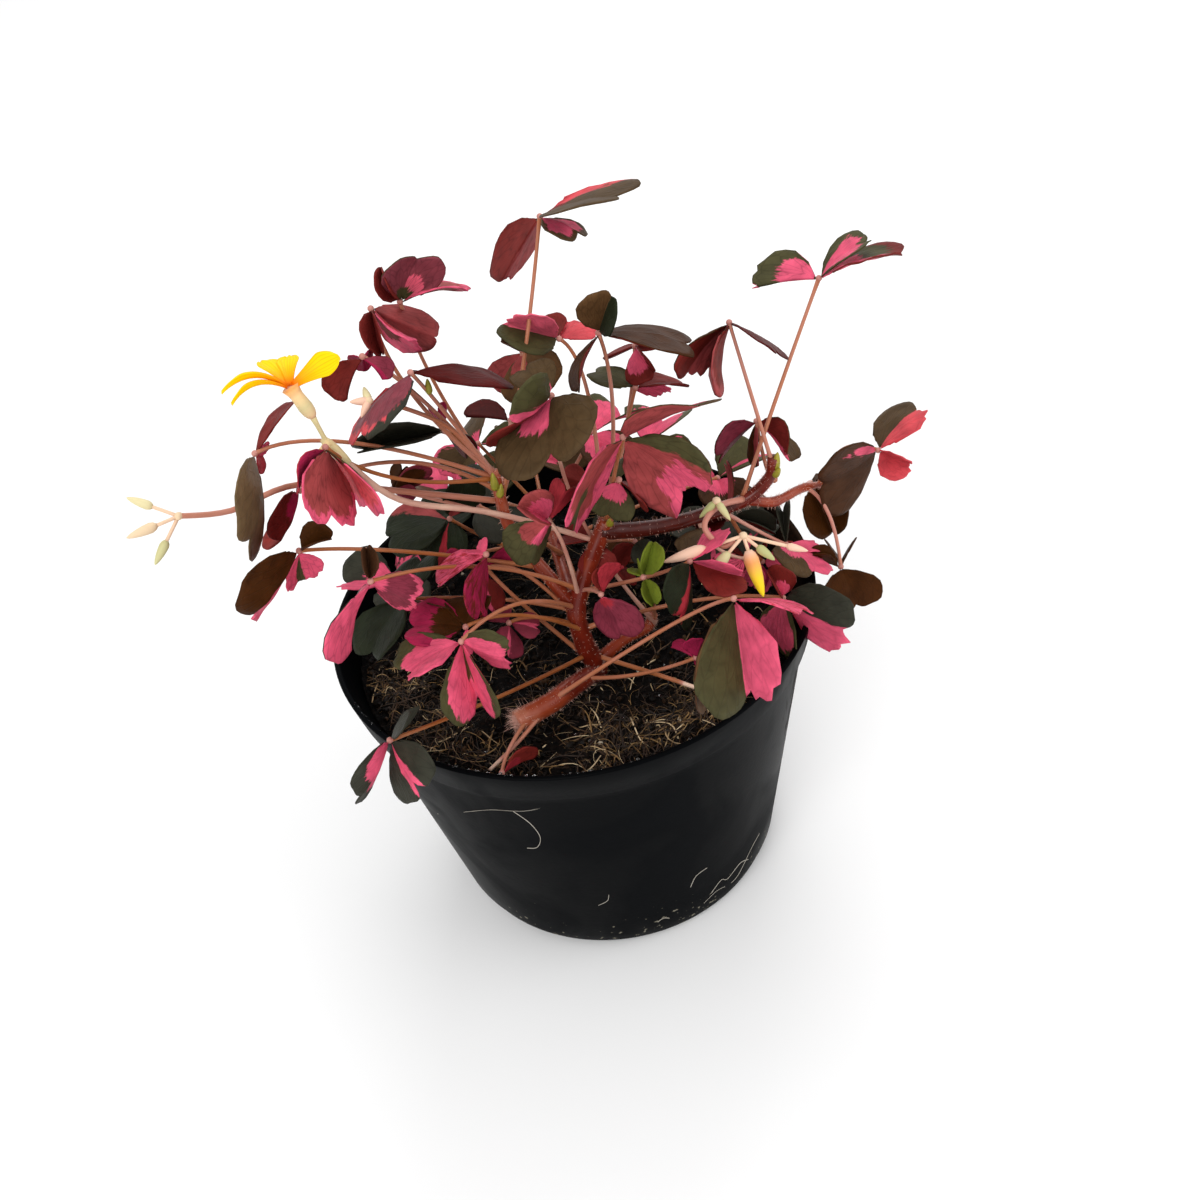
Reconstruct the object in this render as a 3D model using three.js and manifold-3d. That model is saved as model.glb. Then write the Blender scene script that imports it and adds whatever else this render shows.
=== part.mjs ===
// Variegated purple shamrock (an Oxalis with red stems) growing in a round plastic nursery pot.
// Millimetres, +Z up. The origin is the centre of the pot's flat underside.

import * as THREE from 'three';
import { mergeVertices } from 'three/addons/utils/BufferGeometryUtils.js';
import Module from 'manifold-3d';

const wasm = await Module();
wasm.setup();

// ---------------------------------------------------------------- driving dimensions

const CLEARANCE = 0.3; // between any two pieces that touch

const POT_HEIGHT = 84;
const RIM_RADIUS = 60;
const BASE_RADIUS = 43;
const FOOT_ROUND = 4; // rounding between the wall and the underside
const COLLAR_HEIGHT = 9;
const COLLAR_STEP = 1.2; // how far the collar stands out from the wall
const WALL = 1.6;
const FLOOR = 2.5;
const POT_SIDES = 32;
const LIP_ROUND = 0.5; // rounding of the rim's edges
const DRAIN_SIDES = 8;
const DRAIN_COUNT = 6;
const DRAIN_RADIUS = 3;
const DRAIN_CIRCLE = 30;

const SOIL_LEVEL = 74;
const SOIL_RELIEF = 1.1; // height of the lumps in the peat
const SOIL_SIDES = 24;
const SOIL_RINGS = [42, 28, 13, 0]; // radii of the rings that carry the lumps
const SOIL_EDGE_DROP = 3; // the bevel round the peat's upper edge
const SOIL_EDGE_STEP = 1;
const LONG_LUMP = { share: 0.6, x: 0.21, y: 0.19 };
const SHORT_LUMP = { share: 0.4, x: 0.31, y: 0.43 };

const BLADE_THICKNESS = 0.6;
const FOLD_DROOP = 0.2; // how much of its fold a blade has lost at its margin
const BLADE_ARCH = 0.08; // rise of the midrib's middle, in blade lengths
const HUB_RADIUS = 1.5; // the joint where three leaflets meet their petiole
const LEAFLET_START = 0.6; // how far from the hub's centre a blade begins
const SMALL_LEAFLET = 17; // leaflets up to this length have the simpler outline
const PETIOLE_RADIUS = 0.6;
const PETIOLE_FOOT = 1.2; // how much thicker a petiole is at its foot
const PETIOLE_STEP = 11; // length of a straight stretch in the curve of a petiole

// Half of a heart-shaped leaflet and of a petal: points [along, across] in blade lengths, base to tip.
const HEART = { rim: [[0.19, 0.31], [0.52, 0.6], [0.86, 0.5], [0.94, 0.2]], tip: 0.84 };
const SMALL_HEART = { rim: [[0.26, 0.42], [0.84, 0.56], [0.95, 0.2]], tip: 0.84 };
const SPOON = { rim: [[0.25, 0.09], [0.55, 0.2], [0.82, 0.26], [0.97, 0.15]], tip: 1, halfWidth: 0.26 };

const COLOUR = {
  plastic: 0x1c1e1f, peat: 0x241a14, stem: 0x8a3a1c,
  olive: 0x463c28, pink: 0xe0557a, rose: 0x99424e, plum: 0x66202a, brown: 0x4d2c12, green: 0x6b8420,
  petal: 0xffc400, calyx: 0xe9bd8c, bud: 0xf0c9a0,
};

// ---------------------------------------------------------------- limbs: [x, y, z] points, base to tip

const LIMBS = [
  { path: [[3, -17, 58], [3, -17, 73], [1, -16, 83], [1, -14, 92], [6, -11, 102], [12, -8, 111]], base: 2.7, tip: 2.4 },
  { path: [[10, -9, 109], [23, -8, 106], [35, -7, 106], [45, -6, 107], [51, -6, 112], [52, -6, 117]], base: 2.1, tip: 1.4 },
  { path: [[45, -6, 107], [52, -4, 103], [59, 0, 102], [65, 4, 99]], base: 1.5, tip: 0.9 },
  { path: [[1, -14, 91], [-4, -11, 101], [-10, -6, 112], [-11, -3, 121], [-11, -2, 127]], base: 2.2, tip: 1.3 },
  { path: [[3, -17, 72], [0, -22, 77], [-6, -28, 79], [-11, -31, 79], [-18, -34, 79]], base: 2.5, tip: 2.9 },
  { path: [[2, -16, 74], [10, -12, 77], [17, -9, 77], [19, -8, 80]], base: 2.0, tip: 1.4 },
  { path: [[1, -15, 82], [0, 0, 86], [-1, 14, 90], [-2, 24, 94]], base: 2.1, tip: 1.3 },
];

// Flower stalks and petioles that have lost their leaves.
const STALKS = [
  { path: [[-43, -16, 152], [-40, -18, 148], [-32, -14, 133], [-16, -9, 122], [-5, -8, 115], [8, -9, 107]], radius: 0.9 },
  { path: [[-78, -10, 138], [-69, -9, 136], [-53, -6, 137], [-30, -5, 128], [-11, -3, 119]], radius: 0.8 },
  { path: [[44, -7, 108], [37, -13, 112], [33, -18, 111], [36, -21, 107], [39, -21, 108]], radius: 0.8 },
  { path: [[-31.4, -10.6, 156], [-27, -6, 151], [-18, -3, 141], [-11, -2, 126]], radius: 0.6 },
  { path: [[4, -17, 78], [16, -27, 78], [24, -33, 77]], radius: 0.6 },
];

// ---------------------------------------------------------------- leaves
// hub: where the leaflets meet; bend and root: the petiole's middle and its foot inside a limb.
// blades: [bearing, pitch, length, roll, fold] of each leaflet, in degrees and millimetres. Two more numbers
// give its own arch and where its notch ends, in blade lengths.

const LEAVES = [
  { hub: [11, 26, 172], bend: [1, 11, 146], root: [-11, -4, 119], tint: 'rose',
    blades: [[186, -50, 20, 106, 70], [330, 14, 23, -13, 7, 0.06, 0.85], [320, -18, 11, -20, -10]] },
  { hub: [70, 14, 149], bend: [55, 2, 126], root: [44, -6, 107], tint: 'pink',
    blades: [[152, -14, 20, 90, 70, 0.09, 0.84], [0, 28, 14, -16, 13], [348, 11, 20, -22, 6, 0.07, 0.85]] },
  { hub: [18, 2, 154], bend: [18, -2, 136], root: [12, -8, 111], tint: 'olive',
    blades: [[351, -18, 21, -18, -2, 0.08, 0.9], [333, 64, 12, 80, 54], [225, -45, 14, 48, 9]] },
  { hub: [10, 21, 143.5], bend: [14, 15, 131], root: [11, -8, 110], tint: 'brown',
    blades: [[113, 17, 8, 124, 56], [32, -6, 10, 0, -6], [190, 33, 17, -69, 63, 0.08, 0.88]] },
  { hub: [5, -14, 151], bend: [6, -7, 114], root: [19, -9, 78], tint: 'olive',
    blades: [[262, -16, 21, 26, 10, 0.08, 0.76], [230, 13, 18, -124, -14], [125, 25, 9, 0, 10]] },
  { hub: [18, -20, 141], bend: [15, -14, 127], root: [12, -8, 111], tint: 'rose',
    blades: [[325, -42, 22, -81, -7], [218, -37, 25, 62, 0], [335, 25, 22, -32, 5, 0.05, 0.85]] },
  { hub: [27, 20, 138], bend: [22, 14, 122], root: [12, -8, 111], tint: 'pink',
    blades: [[155, -25, 10, 110, 70], [291, -20, 10, 68, 45], [330, 15, 11, 55, 70]] },
  { hub: [25, 12, 132], bend: [20, 8, 121], root: [12, -8, 111], tint: 'brown',
    blades: [[147, 16, 11, 18, -2], [4, -17, 12, -20, 14], [10, -32, 9, -40, -6]] },
  { hub: [48, 10, 145], bend: [50, 2, 130], root: [52, -6, 115], tint: 'plum',
    blades: [[195, -40, 17, 59, -4], [307, -17, 15, -44, 0], [245, -55, 17, 75, 15]] },
  { hub: [52, 10, 117], bend: [52, 3, 109], root: [52, -6, 111], tint: 'plum',
    blades: [[207, -22, 13, 64, 12], [181, -75, 11, 15, -24], [288, -22, 13, -67, 32]] },
  { hub: [80, 6, 104], bend: [72, 8, 105], root: [65, 4, 99], tint: 'brown',
    blades: [[203, -3, 19, -100, 11, 0.07, 0.85], [27, 19, 16, -22, 4], [310, -2, 12, 75, 57]] },
  { hub: [66, 20, 87], bend: [65, 15, 92], root: [60, 1, 101], tint: 'brown',
    blades: [[284, -39, 15, 17, 54], [345, 10, 12, 110, 10], [40, -60, 10, 0, 60]] },
  { hub: [34, -44, 111], bend: [20, -35, 99], root: [-10, -30, 79], tint: 'pink',
    blades: [[263, -56, 25, 4, 52], [224, -61, 25, 69, 3, 0.1, 0.84], [326, 0, 17, -41, -4]] },
  { hub: [48.4, -23, 89.6], bend: [28, -19, 91], root: [1, -15, 86], tint: 'pink',
    blades: [[243, -64, 14, 47, 0], [314, -5, 20, 96, 0], [159, 69, 10, -39, 63]] },
  { hub: [53.5, -6, 91], bend: [46, -6, 98], root: [39, -7, 106], tint: 'pink',
    blades: [[283, 0, 15, -33, 0], [23, -25, 10, -20, -25], [80, 10, 11, 0, 70]] },
  { hub: [28, -24, 107], bend: [18, -19, 101], root: [3, -13, 96], tint: 'plum',
    blades: [[246, -20, 15, -82, -13], [335, -15, 14, 60, 65], [50, 0, 13, -20, 0]] },
  { hub: [-41, -30, 125], bend: [-18, -19, 114], root: [3, -13, 96], tint: 'pink',
    blades: [[338, -31, 12, -124, 53], [208, -60, 19, 45, 18], [75, 65, 8, 25, 70]] },
  { hub: [-25, -38, 110], bend: [-12, -26, 107], root: [1, -14, 92], tint: 'pink',
    blades: [[197, -15, 16, 15, 14], [285, -75, 18, 24, 58], [326, -7, 13, 103, -13]] },
  { hub: [-44, -52, 99], bend: [-20, -35, 89], root: [2, -16, 79], tint: 'olive',
    blades: [[233, -14, 15, -111, -11], [295, -26, 14, 63, -6], [15, 47, 9, -39, -27]] },
  { hub: [-43, -20, 154], bend: [-31, -12, 137], root: [-11, -2, 125], tint: 'rose',
    blades: [[266, -44, 18, 111, -2], [328, -75, 19, -58, 5, 0.1, 0.84], [229, -23, 11, 55, 8, 0.1, 0.84]] },
  { hub: [-59, -12, 151], bend: [-40, -6, 145], root: [-11, -2, 125], tint: 'olive',
    blades: [[67, 9, 14, -47, -19], [255, -30, 22, -102, -6, 0.1, 0.84], [84, -41, 7, -66, -25]] },
  { hub: [-54, -4, 134], bend: [-31, -1, 134], root: [-11, -3, 122], tint: 'plum',
    blades: [[241, -18, 15, -125, -30], [15, 20, 8, -50, 0], [340, -30, 10, -65, 0]] },
  { hub: [-55, -22, 131], bend: [-35, -15, 120], root: [-5, -10, 103], tint: 'brown',
    blades: [[227, -14, 20, -118, -17], [146, -74, 11, 21, -26], [351, 15, 9, 24, 61]] },
  { hub: [-29, 8, 168], bend: [-25, 4, 148], root: [-11, -2, 126], tint: 'plum',
    blades: [[355, -38, 17, -123, 63], [274, -38, 12, 9, 70], [327, -31, 15, 125, 14]] },
  { hub: [-23, 14, 165], bend: [-20, 18, 139], root: [-11, -1, 125], tint: 'rose',
    blades: [[346, 57, 13, -54, -16], [356, -6, 17, -24, 10, 0.11, 0.84], [179, 78, 10, -99, 70]] },
  { hub: [-32, -6, 165], bend: [-23, -2, 150], root: [-11, -2, 126], tint: 'plum',
    blades: [[205, -55, 11, 60, 70], [330, -60, 9, -60, 70], [100, -60, 7, 0, 50]] },
  { hub: [-23, -8, 160], bend: [-18, -6, 147], root: [-11, -2, 125], tint: 'rose',
    blades: [[227, -17, 21, 33, -8, 0.1, 0.84], [27, -28, 22, -16, -16, 0.1, 0.84], [230, -45, 8, 35, 5]] },
  { hub: [-20, 6, 135], bend: [-15, 2, 131], root: [-11, -3, 123], tint: 'olive',
    blades: [[190, 5, 22, -50, 70], [255, 70, 7, 15, 65], [325, -55, 8, -75, 15]] },
  { hub: [-5, 14, 129], bend: [-8, 7, 123], root: [-11, -3, 120], tint: 'plum',
    blades: [[160, 5, 12, 105, 70], [30, 40, 10, 105, 20], [40, -60, 10, 105, 55]] },
  { hub: [-35, 2, 125], bend: [-25, 1, 120], root: [-10, -5, 115], tint: 'brown',
    blades: [[10, 0, 10, -55, 10], [10, 50, 6, -105, 60], [0, -55, 6, -80, 50]] },
  { hub: [-24, 4, 112], bend: [-16, 1, 106], root: [-7, -8, 106], tint: 'olive',
    blades: [[185, -5, 16, 0, 0], [20, 55, 11, 105, 10], [250, -30, 12, 20, 0]] },
  { hub: [-1, -26, 128], bend: [1, -21, 116], root: [2, -13, 94], tint: 'pink',
    blades: [[181, -63, 14, 76, 49], [205, 49, 11, -57, 59], [355, 55, 9, -100, 60]] },
  { hub: [-16, -24, 121], bend: [-15, -14, 104], root: [2, -17, 77], tint: 'pink',
    blades: [[185, -25, 14, 105, 70], [115, -20, 6, -10, 30], [245, -50, 14, 85, 5]] },
  { hub: [7, -24, 103], bend: [5, -18, 100], root: [3, -13, 96], tint: 'rose',
    blades: [[300, -65, 12, -110, 10], [55, 55, 6, -95, 10], [20, 35, 8, -65, 25]] },
  { hub: [-37, -16, 107], bend: [-17, -13, 99], root: [1, -14, 91], tint: 'olive',
    blades: [[225, -25, 16, 20, 10], [60, 15, 12, -25, 5], [340, -30, 15, 110, 5]] },
  { hub: [17, -26, 107], bend: [19, -15, 91], root: [19, -8, 78], tint: 'green',
    blades: [[35, 60, 9, 50, 65], [280, -35, 7, 5, 65], [95, -15, 5, -35, 55]] },
  { hub: [25, -36, 89], bend: [12, -29, 81], root: [-1, -23, 78], tint: 'pink',
    blades: [[330, 65, 7, -40, 20], [325, -80, 5, -110, 65], [150, 20, 6, 110, 70]] },
  { hub: [42, 6, 93], bend: [39, 2, 98], root: [35, -7, 106], tint: 'olive',
    blades: [[335, -20, 12, 25, 70], [185, 0, 9, -55, 70], [75, 50, 14, 100, 0]] },
  { hub: [11, 4, 112], bend: [11, 0, 111], root: [11, -8, 110], tint: 'pink',
    blades: [[175, 35, 8, 110, 55], [320, -25, 7, 60, 55], [55, 55, 7, 35, 65]] },
  { hub: [18, 0, 97], bend: [14, -2, 100], root: [9, -9, 106], tint: 'olive',
    blades: [[300, -20, 7, 35, 45], [210, -30, 8, 80, 5], [40, 65, 6, 50, 55]] },
  { hub: [1, 32, 136], bend: [-4, 15, 125], root: [-11, -3, 119], tint: 'rose',
    blades: [[205, -65, 12, 80, 60], [285, -28, 14, 30, 20], [195, 45, 7, -55, 65]] },
  { hub: [-23, -50, 80], bend: [-20, -42, 80], root: [-14, -32, 79], tint: 'plum',
    blades: [[20, -5, 9, -60, 20]] },
  { hub: [-2, 50, 93], bend: [-2, 38, 95], root: [-2, 24, 93], tint: 'olive',
    blades: [[90, -15, 17, 0, 35], [215, -15, 15, 0, 35], [325, -15, 15, 0, 35]] },
  { hub: [28, 44, 93], bend: [14, 34, 94], root: [-2, 22, 93], tint: 'pink',
    blades: [[60, -10, 17, 0, 30], [180, -20, 14, 0, 40], [300, -10, 13, 0, 30]] },
  { hub: [-26, 43, 91], bend: [-14, 34, 93], root: [-2, 22, 93], tint: 'rose',
    blades: [[130, -10, 16, 0, 30], [250, -20, 14, 0, 40], [10, -5, 13, 0, 35]] },
  { hub: [44, 30, 88], bend: [22, 20, 92], root: [-1, 14, 90], tint: 'olive',
    blades: [[30, -5, 16, 0, 30], [150, -10, 14, 0, 35], [270, -15, 13, 0, 35]] },
  { hub: [-42, 15, 88], bend: [-20, 16, 91], root: [-1, 14, 90], tint: 'pink',
    blades: [[160, -5, 16, 0, 30], [280, -10, 14, 0, 35], [40, -15, 14, 0, 35]] },
  { hub: [14, 36, 106], bend: [8, 31, 100], root: [-2, 23, 94], tint: 'rose',
    blades: [[45, -20, 16, 0, 35], [165, -20, 15, 0, 35], [285, -25, 14, 0, 40]] },
  { hub: [-15, 42, 106], bend: [-9, 34, 100], root: [-2, 23, 94], tint: 'olive',
    blades: [[110, -20, 16, 0, 35], [230, -20, 14, 0, 35], [350, -25, 13, 0, 35]] },
  { hub: [65.5, -10, 84], bend: [65, -2, 95], root: [60, 1, 102], tint: 'brown',
    blades: [[275, -25, 12, 0, 10], [75, -35, 12, 0, 60], [165, 15, 8, 0, 70]] },
];

// Small leaves hidden among the stems, one piece with them.
const INNER_LEAVES = [
  { hub: [-17, 12, 108], bend: [-10, 8, 104], root: [0, 10, 90],
    blades: [[185, -5, 15, 0, 10], [300, -20, 14, -20, 10], [60, 10, 12, 0, 20]] },
  { hub: [-19, -12, 107], bend: [-10, -11, 104], root: [1, -15, 88],
    blades: [[265, -55, 10, -60, 10], [20, -10, 9, -60, 20], [140, 0, 9, 60, 20]] },
  { hub: [-16, -18, 103], bend: [-8, -17, 99], root: [1, -15, 87],
    blades: [[250, -30, 8, -60, 0], [350, -20, 7, 0, 0], [120, -10, 6, 0, 20]] },
  { hub: [-24, -30, 107], bend: [-12, -24, 102], root: [2, -16, 86],
    blades: [[170, 5, 13, 0, 10], [75, 0, 9, 0, 20], [280, -70, 7, 0, 40]] },
  { hub: [11, 4, 95], bend: [8, -2, 96], root: [1, -14, 88],
    blades: [[350, 10, 9, 0, 15], [290, -25, 8, -50, 10], [100, 20, 9, 20, 20]] },
  { hub: [43, -8, 91], bend: [36, -8, 97], root: [33, -7, 106],
    blades: [[200, -10, 8, -40, 20], [290, -40, 8, -50, 10], [60, 10, 8, 0, 30]] },
  { hub: [40, 4, 92], bend: [37, 0, 98], root: [33, -7, 106],
    blades: [[10, 0, 16, 0, 15], [140, 10, 11, 0, 20], [255, -20, 10, -20, 20]] },
  { hub: [48, -2, 84], bend: [44, -3, 93], root: [40, -7, 106],
    blades: [[340, -5, 9, 20, 10], [230, -30, 8, -60, 10], [110, 0, 8, 0, 20]] },
  { hub: [8, -8, 106], bend: [6, -10, 104], root: [2, -14, 92],
    blades: [[260, -60, 8, -20, 20], [150, 0, 8, 0, 20], [30, 0, 8, 0, 20]] },
  { hub: [16, -14, 126], bend: [15, -13, 118], root: [11, -9, 110],
    blades: [[215, -55, 9, -40, 0], [330, -60, 9, -40, 10], [90, -10, 9, 0, 20]] },
];

// ---------------------------------------------------------------- flowers and buds

const THROAT_RADIUS = 1.6;
const CUP_RADII = [1.5, 2.2]; // of the sepal cup, at its foot and at its mouth
const CUP_LIP = 0.3; // share of the way from throat to foot that the cup leaves free
const STALK_IN_CUP = 0.3; // share of the cup's length that its stalk runs into
const PEDICEL_RADII = [0.6, 0.8];
const BUD_HEAD_RADIUS = 1;
const BUD_STALK_RADIUS = 0.45;
const BUD_SWELL = [0.5, 1, 0.3]; // shares of a bud's radius at its foot, middle and tip
const STALK_IN_BUD = 0.3; // share of a bud's length that its stalk runs into

const FLOWER = {
  throat: [-47, -14, 166],
  foot: [-44.4, -15, 159],
  pedicelFoot: [-43, -16, 152],
  // Each petal: the same numbers as a blade, then its half width.
  petals: [
    [12, 16, 11.5, 35, 12, 0.06, 1, 0.27],
    [90, 8, 10, 0, 15, 0.1, 1, 0.25],
    [122, 12, 10.5, 10, 15, 0.08, 1, 0.25],
    [186, 12, 13.5, 20, 40, 0.2, 1, 0.15],
    [192, 2, 12, 20, 40, 0.2, 1, 0.15],
  ],
};

// Buds hang from a small head: [bearing, pitch, stalk length, bud length, bud radius].
const BUD_SPRAYS = [
  { name: 'left_bud_umbel', head: [-79.8, -10.4, 138.4], buds: [[160, 25, 6, 6, 1.1], [200, 0, 5, 7, 1.2], [215, -40, 6, 6, 1.1]] },
  { name: 'front_bud_umbel', head: [41, -21.4, 109],
    buds: [[184, -5, 9, 10, 1.4], [206, -28, 5, 9.5, 1.3], [280, -50, 3.5, 11, 1.8], [323, -36, 4, 5, 1.1], [343, -19, 10, 5, 0.9]] },
  { name: 'rear_bud_umbel', head: [37, -13.8, 114.4], buds: [[190, -35, 0.5, 5, 0.9], [300, -40, 0.5, 5, 0.9]] },
  { name: 'faded_calyx', head: [-32.7, -11.2, 157.3], buds: [[180, 10, 0, 4, 0.9], [230, -30, 0, 4, 0.9], [100, 20, 0, 4, 0.9]] },
];

// ---------------------------------------------------------------- solids

function toSolid(geometry) {
  const bare = geometry.clone();
  bare.deleteAttribute('normal');
  bare.deleteAttribute('uv');
  const merged = mergeVertices(bare, 1e-4);
  return new wasm.Manifold(new wasm.Mesh({
    numProp: 3,
    vertProperties: new Float32Array(merged.attributes.position.array),
    triVerts: new Uint32Array(merged.index.array),
  }));
}

function toGeometry(solid) {
  const mesh = solid.getMesh();
  const geometry = new THREE.BufferGeometry();
  geometry.setAttribute('position', new THREE.BufferAttribute(new Float32Array(mesh.vertProperties), 3));
  geometry.setIndex(new THREE.BufferAttribute(new Uint32Array(mesh.triVerts), 1));
  geometry.computeVertexNormals();
  return geometry;
}

function fuse(solids) {
  return solids.reduce((sum, solid) => sum.add(solid));
}

function boxesMeet(a, b) {
  const boxA = a.boundingBox();
  const boxB = b.boundingBox();
  return [0, 1, 2].every((axis) => boxA.min[axis] < boxB.max[axis] && boxB.min[axis] < boxA.max[axis]);
}

// Takes away what would touch the pieces already placed, and keeps the largest part of what is left.
function giveWay(solid, placed) {
  let left = solid;
  for (const other of placed) {
    if (boxesMeet(left, other)) {
      left = left.subtract(other);
    }
  }
  const parts = left.decompose();
  return parts.reduce((best, part) => (part.volume() > best.volume() ? part : best));
}

// A closed round tube with one radius for each of its rings, which stand evenly along a curve.
function tube(curve, radii, sides) {
  const steps = radii.length - 1;
  const rings = new THREE.CylinderGeometry(1, 1, 1, sides, steps);
  const frames = curve.computeFrenetFrames(steps, false);
  const place = rings.attributes.position;
  for (let i = 0; i < place.count; i += 1) {
    const step = Math.round((place.getY(i) + 0.5) * steps);
    const point = curve.getPointAt(step / steps);
    point.addScaledVector(frames.binormals[step], place.getX(i) * radii[step]);
    point.addScaledVector(frames.normals[step], place.getZ(i) * radii[step]);
    place.setXYZ(i, point.x, point.y, point.z);
  }
  return toSolid(rings);
}

// A tube whose radius changes evenly from its foot to its tip.
function taper(curve, foot, tip, sides, steps) {
  const radii = Array.from({ length: steps + 1 }, (_, i) => foot + ((tip - foot) * i) / steps);
  return tube(curve, radii, sides);
}

function vector(values) {
  return new THREE.Vector3(...values);
}

function smoothPath(points) {
  return new THREE.CatmullRomCurve3(points.map(vector));
}

// The three axes of a blade: along its midrib, across it, and out of its upper face.
function bladeAxes(bearing, pitch, roll) {
  const [b, p, r] = [bearing, pitch, roll].map(THREE.MathUtils.degToRad);
  const along = new THREE.Vector3(Math.cos(p) * Math.cos(b), Math.cos(p) * Math.sin(b), Math.sin(p));
  const level = new THREE.Vector3(-Math.sin(b), Math.cos(b), 0);
  const up = along.clone().cross(level);
  const across = level.clone().multiplyScalar(Math.cos(r)).addScaledVector(up, Math.sin(r));
  return { along, across, up: along.clone().cross(across) };
}

// A thin blade folded up along its arched midrib, its two faces split into triangles alike.
function blade(origin, [bearing, pitch, length, roll, fold, ownArch = BLADE_ARCH, ownTip], shape, grow = 0) {
  const tip = ownTip ?? shape.tip;
  const { along, across, up } = bladeAxes(bearing, pitch, roll);
  const size = length + 2 * grow;
  const slope = THREE.MathUtils.degToRad(fold);
  const steps = shape.rim.length - 1;
  const faces = [];
  const corner = (x, y, side, face) => {
    const arch = 4 * ownArch * size * x * (1 - x);
    const width = y * size;
    const outward = face * (BLADE_THICKNESS / 2 + grow) - BLADE_THICKNESS / 2;
    const lean = side === 0 ? 0 : Math.sin(slope);
    const flat = side === 0 ? 1 / Math.cos(slope) : Math.cos(slope);
    return vector(origin)
      .addScaledVector(along, LEAFLET_START + x * size - grow)
      .addScaledVector(across, side * width * Math.cos(slope) - side * outward * lean)
      .addScaledVector(up, width * Math.sin(slope) * (1 - FOLD_DROOP * y) + arch + outward * flat);
  };
  const ridge = (i) => [tip * (i / steps), 0, 0];
  const rim = (i, side) => [...shape.rim[i - 1], side];
  const triangle = (a, b, c, flip) => faces.push(...(flip ? [a, c, b] : [a, b, c]));
  for (const side of [1, -1]) {
    for (const face of [1, -1]) {
      const flip = side * face < 0;
      const at = (spot) => corner(...spot, face);
      for (let i = 1; i <= steps; i += 1) {
        triangle(at(ridge(i - 1)), at(ridge(i)), at(rim(i, side)), flip);
        triangle(at(ridge(i)), at(rim(i + 1, side)), at(rim(i, side)), flip);
      }
    }
    const edge = [ridge(0), ...shape.rim.map((spot) => [...spot, side]), ridge(steps)];
    for (let i = 1; i < edge.length; i += 1) {
      const [a, b] = [edge[i - 1], edge[i]];
      triangle(corner(...a, -1), corner(...b, -1), corner(...b, 1), side > 0);
      triangle(corner(...a, -1), corner(...b, 1), corner(...a, 1), side > 0);
    }
  }
  return toSolid(new THREE.BufferGeometry().setFromPoints(faces));
}

function bead(centre, radius) {
  const ball = new THREE.OctahedronGeometry(radius, 0);
  ball.translate(...centre);
  return toSolid(ball);
}

// ---------------------------------------------------------------- the pot and its peat

function wallRadius(height) {
  return BASE_RADIUS + (RIM_RADIUS - COLLAR_STEP - BASE_RADIUS) * (height / POT_HEIGHT);
}

function potProfile(grow) {
  const collarFoot = POT_HEIGHT - COLLAR_HEIGHT;
  const footCorner = FOOT_ROUND * (1 - Math.SQRT1_2);
  return [
    [0, -grow],
    [BASE_RADIUS - FOOT_ROUND, -grow],
    [BASE_RADIUS - footCorner + grow * Math.SQRT1_2, footCorner - grow * Math.SQRT1_2],
    [wallRadius(FOOT_ROUND) + grow, FOOT_ROUND],
    [wallRadius(collarFoot) + grow, collarFoot - grow],
    [wallRadius(collarFoot) + COLLAR_STEP + grow, collarFoot - grow],
    [RIM_RADIUS + grow, POT_HEIGHT - LIP_ROUND],
    [RIM_RADIUS - LIP_ROUND, POT_HEIGHT + grow],
    [RIM_RADIUS - WALL - grow, POT_HEIGHT + grow],
    [wallRadius(collarFoot) - WALL - grow, collarFoot],
    [wallRadius(FLOOR) - WALL - grow, FLOOR + grow],
    [0, FLOOR + grow],
  ];
}

function lathe(profile, sides) {
  const points = profile.map(([radius, height]) => new THREE.Vector2(radius, height));
  const turned = new THREE.LatheGeometry(points, sides);
  turned.rotateX(Math.PI / 2);
  return toSolid(turned);
}

function pot() {
  let shell = lathe(potProfile(0), POT_SIDES);
  for (let i = 0; i < DRAIN_COUNT; i += 1) {
    const turn = (2 * Math.PI * i) / DRAIN_COUNT;
    const hole = new THREE.CylinderGeometry(DRAIN_RADIUS, DRAIN_RADIUS, 4 * FLOOR, DRAIN_SIDES);
    hole.rotateX(Math.PI / 2);
    hole.translate(DRAIN_CIRCLE * Math.cos(turn), DRAIN_CIRCLE * Math.sin(turn), 0);
    shell = shell.subtract(toSolid(hole));
  }
  return shell;
}

// Height of the peat's lumpy surface above its mean level.
function soilLump(x, y) {
  const long = LONG_LUMP.share * Math.sin(LONG_LUMP.x * x + 1) * Math.cos(LONG_LUMP.y * y);
  const short = SHORT_LUMP.share * Math.sin(SHORT_LUMP.y * y - SHORT_LUMP.x * x);
  return SOIL_RELIEF * (long + short);
}

function pottingMix(stems) {
  const inner = (height) => wallRadius(height) - WALL - CLEARANCE;
  const shoulder = SOIL_LEVEL - SOIL_EDGE_DROP;
  const turned = new THREE.LatheGeometry([
    [0, FLOOR + CLEARANCE],
    [inner(FLOOR), FLOOR + CLEARANCE],
    [inner(shoulder), shoulder],
    [inner(shoulder) - SOIL_EDGE_STEP, SOIL_LEVEL],
    ...SOIL_RINGS.map((radius) => [radius, SOIL_LEVEL]),
  ].map(([radius, height]) => new THREE.Vector2(radius, height)), SOIL_SIDES);
  turned.rotateX(Math.PI / 2);
  const place = turned.attributes.position;
  for (let i = 0; i < place.count; i += 1) {
    if (place.getZ(i) > SOIL_LEVEL - 0.1) {
      place.setZ(i, SOIL_LEVEL + soilLump(place.getX(i), place.getY(i)));
    }
  }
  return toSolid(turned).subtract(stems);
}

// ---------------------------------------------------------------- stems with their petioles

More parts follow.
